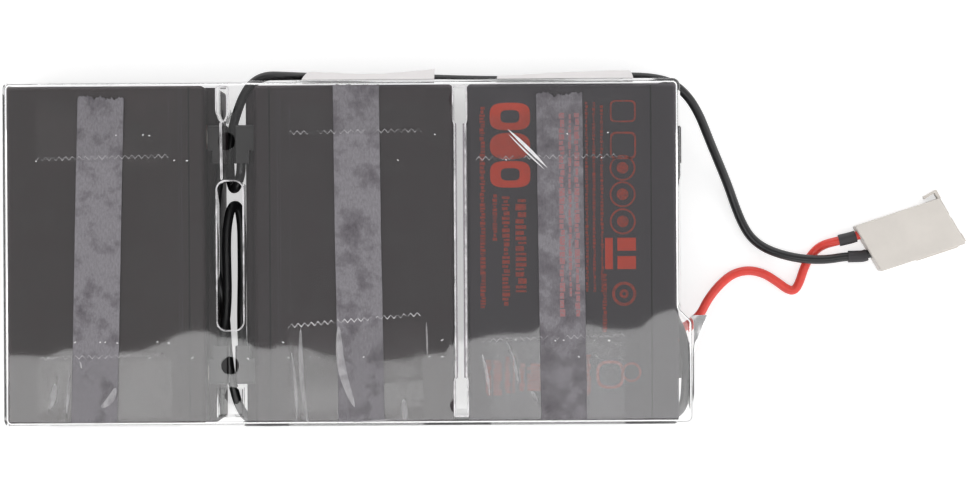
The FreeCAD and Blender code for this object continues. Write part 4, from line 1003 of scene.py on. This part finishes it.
@dataclass
class Leads:
    """The two free leads to the plug, the jumpers between batteries, and the shrink sleeves."""

    dresser: Dresser
    radius: float = 2.1 * MM
    black_length: float = 0.4305
    red_length: float = 0.1293
    black: tuple[Point, ...] = (
        (-48.5, 42.6, 52.15), (-48.5, 39.2, 52.15), (-49.0, 34.6, 51.6), (-51.4, 28.8, 47.6),
        (-53.6, 29.8, 42.6), (-54.6, 37.5, 39.8), (-54.6, 47.5, 40.2), (-53.0, 57.0, 43.2),
        (-49.8, 65.5, 50.0), (-46.8, 71.5, 55.2), (-43.0, 76.5, 57.6), (-37.2, 79.6, 57.8),
        (-29.0, 79.6, 53.6), (-20.0, 79.5, 46.0), (-10.0, 79.4, 37.4), (0.0, 79.3, 28.8),
        (10.0, 79.6, 19.6), (22.0, 80.6, 14.4), (38.0, 80.0, 12.2), (56.0, 79.4, 11.8),
        (74.0, 79.1, 13.0), (92.0, 79.3, 15.0), (110.0, 79.9, 16.6), (126.0, 80.3, 17.8),
        (138.0, 79.8, 18.2), (147.2, 77.6, 18.2), (154.4, 71.8, 17.2), (160.0, 63.2, 14.6),
        (164.8, 51.6, 10.2), (169.6, 40.6, 6.2), (174.0, 30.2, 3.4), (177.3, 20.6, 2.4),
        (180.4, 12.8, 2.3), (184.1, 6.4, 2.3), (189.5, 1.7, 2.8), (196.6, -1.5, 4.6), (205.5, -3.8, 6.9),
        (214.2, -4.6, 7.0), (221.0, -4.3, 6.7), (227.6, -3.2, 6.5), (235.85, -3.08, 6.5),
        (248.69, 1.07, 6.5))
    red: tuple[Point, ...] = (
        (148.7, -43.6, 13.15), (148.7, -40.2, 13.15), (151.0, -36.0, 13.0), (155.6, -33.6, 12.3),
        (160.4, -29.5, 10.8), (163.8, -22.9, 8.0), (169.2, -16.3, 5.0), (175.7, -10.9, 3.0),
        (183.1, -9.1, 2.3), (190.3, -10.6, 2.2), (196.7, -14.7, 2.2), (201.2, -18.2, 2.2),
        (204.4, -19.0, 2.2), (206.8, -15.8, 2.2), (209.1, -8.6, 2.2), (211.5, -3.8, 2.2),
        (215.0, 0.4, 2.7), (218.6, 2.6, 4.3), (223.6, 3.9, 6.1), (230.84, 5.6, 6.5), (243.69, 9.75, 6.5))
    long: tuple[Point, ...] = (
        (-57.5, 42.6, 52.15), (-57.5, 39.2, 52.15), (-58.2, 34.5, 51.8), (-59.8, 26.0, 50.7),
        (-60.6, 14.0, 50.0), (-60.7, 1.0, 49.9), (-60.0, -10.0, 49.7), (-57.8, -19.0, 48.9),
        (-56.6, -28.0, 45.6), (-56.4, -36.0, 40.8), (-56.3, -45.0, 35.8), (-55.6, -54.0, 30.4),
        (-54.4, -62.5, 24.6), (-52.6, -70.4, 18.6), (-49.2, -76.4, 13.0), (-43.3, -78.2, 8.4),
        (-33.0, -78.1, 6.2), (-15.0, -78.1, 5.4), (10.0, -78.2, 5.6), (40.0, -78.1, 6.4),
        (72.0, -78.2, 5.6), (100.0, -78.1, 5.4), (121.0, -78.1, 6.2), (136.0, -78.1, 8.6),
        (145.4, -77.2, 12.6), (151.2, -73.0, 18.6), (152.1, -66.0, 28.6), (151.9, -58.0, 37.0),
        (152.0, -50.0, 39.6), (151.6, -42.4, 35.6), (150.4, -36.0, 26.4), (148.0, -30.4, 17.4),
        (145.2, -22.0, 13.0), (144.5, -10.0, 12.2), (144.5, 5.0, 12.4), (144.6, 20.0, 12.8),
        (146.0, 31.0, 13.1), (148.7, 39.2, 13.15), (148.7, 42.6, 13.15))
    loop: tuple[Point, ...] = (
        (-57.5, -43.6, 52.15), (-57.5, -40.2, 52.15), (-56.9, -35.0, 51.6), (-55.8, -28.0, 51.0),
        (-55.2, -18.0, 50.6), (-55.4, -7.0, 50.4), (-55.6, 4.0, 50.2), (-55.2, 13.0, 49.6),
        (-53.4, 21.5, 48.0), (-50.4, 22.0, 44.5), (-49.3, 13.0, 41.0), (-49.3, 2.0, 39.8),
        (-49.3, -10.0, 39.8), (-49.4, -20.0, 41.5), (-49.3, -28.0, 45.0), (-48.9, -35.0, 49.5),
        (-48.5, -40.2, 52.15), (-48.5, -43.6, 52.15))

    def build(self) -> None:
        """Add both leads and both jumpers between batteries, and dress the sleeves."""
        black = MouldedPlastic("extruded PVC insulation, black", "1F1F21", 0.36, 2.5 * MM, mottle=0.12,
                               mottle_size=9 * MM, coat=0.15).material()
        red = MouldedPlastic("extruded PVC insulation, red", "EE463A", 0.34, 2.5 * MM, mottle=0.08,
                             mottle_size=9 * MM, coat=0.15).material()
        sleeve = MouldedPlastic("heat-shrink polyolefin", "39373A", 0.5, 0.7 * MM, 0.03 * MM).material()
        self.add_run("long_jumper", self.long, black)
        self.add_run("loop_jumper", self.loop, black)
        self.dresser.dress(sleeve, "black_sleeve", "red_sleeve")
        self.add_lead("black_lead", self.black, black)
        self.add_lead("red_lead", self.red, red)
        LOG.info("leads added")

    def add_run(self, name: str, route: Sequence[Point], material: bpy.types.Material) -> bpy.types.Object:
        """Add an insulated run as a round NURBS curve that stands for a CAD node.

        Args:
            name: the CAD node that it replaces.
            route: control points in millimetres.
            material: the insulation.

        Returns:
            The new object.
        """
        curve = bpy.data.curves.new(f"{name}_insulation", "CURVE")
        curve.dimensions = "3D"
        curve.bevel_depth = self.radius
        curve.bevel_resolution = 6
        curve.use_fill_caps = True
        curve.resolution_u = 10
        spline = curve.splines.new("NURBS")
        spline.points.add(len(route) - 1)
        weights = np.ones((len(route), 4))
        weights[:, :3] = np.array(route) * MM
        spline.points.foreach_set("co", weights.ravel())
        spline.order_u = 3
        spline.use_endpoint_u = True
        piece = bpy.data.objects.new(f"{name}_insulation", curve)
        bpy.context.scene.collection.objects.link(piece)
        curve.materials.append(material)
        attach(piece, "root")
        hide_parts(name)
        return piece

    def add_lead(self, name: str, route: Sequence[Point], material: bpy.types.Material) -> None:
        """Add one free lead.

        Args:
            name: the CAD node that it replaces.
            route: control points in millimetres.
            material: the insulation.
        """
        piece = self.add_run(name, route, material)


@dataclass
class Plug:
    """The two-pole plug with its contacts."""

    dresser: Dresser

    def build(self) -> None:
        """Dress the housing and contacts."""
        # Moulded nylon: a warm, slightly glossy off-white.
        housing = MouldedPlastic("moulded nylon housing, natural", "DED8D1", 0.42, 1.2 * MM, 0.01 * MM, 0.03,
                                 11 * MM).material()
        self.dresser.dress(housing, "plug_housing")
        self.dresser.dress(TinnedBrass().material(), "plug_contact_red", "plug_contact_black")
        LOG.info("plug dressed")


@dataclass
class ClearTapes:
    """Packing tape round the pack, with painted highlights on its saw-cut ends and a painted reflection on
    trapped air, and the flap by the red lead.
    """

    dresser: Dresser
    level: float
    tooth_pitch: float = 3.0
    tooth_depth: float = 1.7
    cut_width: float = 0.5
    air_rise: float = 0.02 * MM
    glint_rise: float = 0.06 * MM
    # Painted glints of a sharp fold: start, end, width, fullness and bow of each blade.
    glints: tuple[tuple[Flat, Flat, float, float, float], ...] = (
        ((71.3, 54.8), (88.9, 37.4), 1.5, 0.8, 0.2), ((71.8, 52.4), (87.7, 36.7), 0.7, 0.6, -0.2))
    bubbles: int = 40
    bubble_rows: tuple[float, ...] = (41.5, 52.8, -46.6, -39.5)
    cuts: tuple[tuple[Flat, Flat], ...] = (
        ((-139.0, 41.5), (-80.0, 42.6)), ((-138.0, -47.4), (-82.0, -46.0)),
        ((-27.0, 52.6), (33.0, 53.4)), ((-27.0, -33.6), (32.0, -28.6)),
        ((57.0, 40.6), (123.0, 41.6)), ((57.0, -40.6), (123.0, -38.4)))
    streaks: tuple[tuple[Flat, Flat, float, float], ...] = (
        ((-131.0, -57.6), (-133.6, -68.7), 2.8, 0.5), ((-124.6, -54.0), (-126.0, -71.0), 1.5, 0.0),
        ((-104.0, -59.6), (-110.4, -68.4), 3.2, 1.0), ((-21.5, -33.5), (-18.2, -76.6), 2.2, -1.2),
        ((-25.6, -44.0), (-23.4, -75.0), 1.4, 0.6), ((-4.5, -32.6), (2.4, -68.8), 3.6, -2.2),
        ((24.4, -65.4), (24.9, -75.2), 2.8, 0.0), ((59.4, -45.5), (62.6, -64.0), 1.6, 0.5),
        ((70.4, -40.0), (75.4, -59.0), 1.7, 0.8), ((81.4, -62.0), (84.0, -67.0), 1.8, 0.0),
        ((-1.0, -75.9), (20.3, -74.3), 0.8, 0.0), ((34.6, -31.0), (35.0, -46.0), 0.9, 0.0),
        ((-120.0, -47.6), (-119.0, -51.0), 0.8, 0.0))

    def build(self) -> None:
        """Dress the bands, then add painted light: highlights on the saw-cut edges, a reflection on the
        trapped air, glints on a sharp fold and small bubbles.
        """
        film = ClearSheet("clear polypropylene packing tape", reflect=0.2, roughness=0.08, haze=0.004,
                          ripple=0.01 * MM, ripple_size=12 * MM).material()
        flap = ClearSheet("clear polypropylene packing tape, loose", roughness=0.08, haze=0.22,
                          ripple=0.05 * MM, ripple_size=4 * MM).material()
        self.dresser.dress(film, "clear_band_1", "clear_band_2", "clear_band_3")
        self.dresser.dress(flap, "clear_lead_tape")
        # The cut ends are zigzag ribbons drawn white: painted highlights where the cut edges catch the
        # light, strong on one cut and faint on the rest.
        for name, cuts, white in (("tape_saw_cut_highlights", self.cuts[3:4], 0.6),
                                  ("tape_faint_cut_highlights", self.cuts[:3] + self.cuts[4:], 0.22)):
            edges = FlatShapes(self.level)
            for start, end in cuts:
                edges.zigzag(start, end, self.tooth_pitch, self.tooth_depth, self.cut_width)
            edge = PaintedLightFilm("painted highlight on packing tape's cut edge", white, 0.02, 4.0 * MM)
            edges.build(name, edge, "clear_tape", 0.05 * MM)
        # Streaks of air trapped under the tape are real; their light grey is a painted reflection from the
        # extra air surfaces.
        air = FlatShapes(self.level + self.air_rise)
        for start, end, width, bow in self.streaks:
            air.blade(start, end, width, 0.45, bow)
        trapped = PaintedLightFilm("painted reflection, air trapped under packing tape", 0.22, 0.10, 3.0 * MM)
        air.build("tape_air_painted_reflection", trapped, "clear_tape", 0.03 * MM)
        # A sharp fold in the tape and small bubbles in rows, drawn near-white: painted glints where they
        # catch the light.
        fold = FlatShapes(self.level + self.glint_rise)
        for start, end, width, fullness, bow in self.glints:
            fold.blade(start, end, width, fullness, bow)
        random = np.random.default_rng(12)
        places = random.uniform(-140, 130, self.bubbles)
        for x, y in zip(places, random.choice(self.bubble_rows, self.bubbles)):
            fold.blade((x, y), (x + random.uniform(0.5, 1.3), y + random.uniform(-0.8, 0.8)), 0.5)
        crease = PaintedLightFilm("painted glint, sharp fold in the packing tape", 0.95, 0.75)
        fold.build("tape_fold_painted_glint", crease, "clear_tape", 0.05 * MM)
        LOG.info("clear tape dressed")


@dataclass
class Tray:
    """The thermoformed tray, and white tubes along the rolled edges of its pockets: painted highlights where
    those edges catch the light.

    An edge is its name, its outline, half its width and the length over which a corner is rounded, all
    in millimetres.
    """

    dresser: Dresser
    level: float
    edges: tuple[tuple[str, tuple[Flat, ...], float, float], ...] = (
        ("window", ((-58.7, -31.9), (-58.7, 30.0), (-56.3, 32.5), (-49.2, 32.5), (-46.7, 30.0),
                    (-46.7, -31.9), (-49.2, -34.4), (-56.3, -34.4)), 0.36, 1.6),
        ("pillar", ((-58.6, 74.4), (-58.6, 63.2), (-56.9, 58.9), (-54.9, 58.9), (-53.2, 63.2),
                    (-53.2, 74.4)), 0.4, 0.8),
        ("crease", ((-56.6, 33.0), (-56.9, 58.5), (-56.3, 58.5), (-56.0, 33.0)), 0.25, 0.1),
        ("rib", ((47.0, 74.2), (47.0, 58.6), (47.6, 57.6), (47.6, -56.0), (47.0, -57.0), (47.0, -73.0),
                 (53.0, -73.0), (53.0, -57.0), (52.4, -56.0), (52.4, 57.6), (53.0, 58.6), (53.0, 74.2)),
         0.42, 0.4),
    )
    # Painted shade strips on the rib's walls, from X to X in millimetres.
    rib_wall_shades: tuple[Flat, ...] = ((47.9, 48.5), (51.3, 53.2))
    rib_ends: Flat = (-56.0, 57.4)
    edge_rise: float = 0.12
    edge_sides: int = 12
    edge_step: float = 0.5

    def build(self) -> None:
        """Dress the tray: clear PET, glossy, with thinning and sag from forming; add painted highlights on
        its edges and painted shade on its rib walls.
        """
        self.dresser.dress(ClearSheet("clear PET, thermoformed").material(), "tray")
        # The rolled edges are drawn as white tubes: painted highlights where the rounded edges catch the
        # light.
        rolled = PaintedLightFilm("clear PET edge, painted highlight", 0.85, 0.25, 7.0 * MM, glow=0.5).material()
        for name, outline, radius, corner in self.edges:
            self.highlight_tube(f"tray_{name}_edge", outline, radius, corner, rolled)
        # Grey strips on the rib's steep walls: painted shade where the clear walls, seen edge-on, look
        # darker.
        walls = FlatShapes(self.level)
        front, back = self.rib_ends
        for left, right in self.rib_wall_shades:
            walls.bar((left, front), (right, back))
        grey = PaintedLightFilm("painted shade, clear PET rib wall", 0.62, 0.55, 9.0 * MM, "8F878F")
        walls.build("tray_rib_walls", grey, "tray_plastic")
        LOG.info("tray dressed")

    def highlight_tube(self, name: str, outline: Sequence[Flat], radius: float, corner: float,
                    material: bpy.types.Material) -> None:
        """Add a painted highlight along a closed outline: a flattened round profile carried along it.

        The outline's corners are rounded by averaging it over a window as long as the corner.

        Args:
            name: the piece's name.
            outline: corners in millimetres.
            radius: half the edge's width in millimetres.
            corner: length over which a corner is rounded, in millimetres.
            material: the finish.
        """
        closed = np.array([*outline, outline[0]], float)
        runs = np.hypot(*np.diff(closed, axis=0).T)
        reach = np.concatenate([[0.0], np.cumsum(runs)])
        count = max(48, int(reach[-1] / self.edge_step))
        steps = np.linspace(0, reach[-1], count, endpoint=False)
        path = np.column_stack([np.interp(steps, reach, closed[:, axis]) for axis in (0, 1)])
        span = max(1, round(corner / reach[-1] * count))
        path = sum(np.roll(path, shift, axis=0) for shift in range(-span, span + 1)) / (2 * span + 1)
        ahead = np.roll(path, -1, axis=0) - np.roll(path, 1, axis=0)
        side = np.column_stack([-ahead[:, 1], ahead[:, 0]]) / np.hypot(*ahead.T)[:, None]
        angles = np.linspace(0, 2 * np.pi, self.edge_sides, endpoint=False)
        across = side[:, None, :] * (np.cos(angles) * radius)[None, :, None]
        flat = path[:, None, :] + across
        rise = np.broadcast_to(np.sin(angles) * self.edge_rise, flat.shape[:2])
        points = np.concatenate([flat, rise[..., None]], axis=-1) * MM + (0, 0, self.level)
        first = np.arange(count * self.edge_sides).reshape(count, self.edge_sides)
        next_ring = np.roll(first, -1, axis=0)
        beside = (np.roll(first, -1, axis=1), np.roll(next_ring, -1, axis=1))
        faces = np.stack([first, *beside, next_ring], axis=-1)
        new_piece(name, points, faces.reshape(-1, 4), material)


@dataclass
class WhiteTapes:
    """White tape from the tray's back edge down over the black lead: two draped sheets with slanted ends.

    A sheet is its node, the X of both ends along the upper and the lower edge, and the Y of the lower edge
    at even steps between them, all in millimetres.
    """

    top: float
    below_top: float = 1.4
    edge: float = 77.4
    lower_edge: float = 29.0
    wave: float = 0.12
    wave_turns: Flat = (0.7, 0.31)
    thickness: float = 0.2 * MM
    rows: int = 25
    columns: int = 65
    sheets: tuple[tuple[str, Flat, Flat, tuple[float, ...]], ...] = (
        ("white_tape_1", (-20.5, 38.8), (-15.5, 38.4), (82.4, 81.9, 81.2, 81.4, 82.3, 83.3)),
        ("white_tape_2", (66.7, 127.6), (67.4, 125.8), (79.9, 80.5, 81.2, 81.7, 82.1, 82.3)),
    )

    def build(self) -> None:
        """Add both sheets. At t from 0 to 1 down it, a sheet stands out by its reach times 1 - (1 - t)^3."""
        finish = MouldedPlastic("white vinyl tape", "E6E2E2", 0.5, 0.9 * MM, 0.02 * MM, 0.03).material()
        along = np.linspace(0, 1, self.columns)[None, :]
        down = np.linspace(0, 1, self.rows)[:, None]
        top = self.top / MM - self.below_top
        for name, upper, lower, reaches in self.sheets:
            left = upper[0] + (lower[0] - upper[0]) * down
            right = upper[1] + (lower[1] - upper[1]) * down
            x = left + (right - left) * along
            z = top + (self.lower_edge - top) * down + 0 * x
            reach = np.interp(along, np.linspace(0, 1, len(reaches)), reaches)
            wave = self.wave * np.sin(self.wave_turns[0] * x + self.wave_turns[1] * z) * down
            y = self.edge + (reach - self.edge) * (1 - (1 - down) ** 3) + wave
            points = np.stack([x, y, z], axis=-1) * MM
            faces = grid_faces(self.rows, self.columns)
            piece = new_piece(f"{name}_sheet", points, faces, finish)
            give_wall(piece, self.thickness)
            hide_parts(name)
        LOG.info("white tape added")


def main() -> None:
    """Load the frame and build every sub-assembly in order."""
    logging.basicConfig(level=logging.INFO, format="%(name)s: %(message)s")
    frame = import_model()
    dresser = Dresser(frame["nodes"])
    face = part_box("battery_3_case")[1].z
    tray_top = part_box("tray")[1].z
    Studio().build()
    Leads(dresser).build()
    BatteryRow(dresser, face + LINES_ABOVE_FACE).build()
    BatteryPrint(face + PRINT_ABOVE_FACE).build()
    PadTapes(tray_top + STRIPS_ABOVE_TRAY).build()
    Tray(dresser, tray_top - EDGES_BELOW_TRAY).build()
    ClearTapes(dresser, tray_top + FILM_ABOVE_TRAY).build()
    WhiteTapes(tray_top).build()
    Plug(dresser).build()


if __name__ == "__main__":
    main()
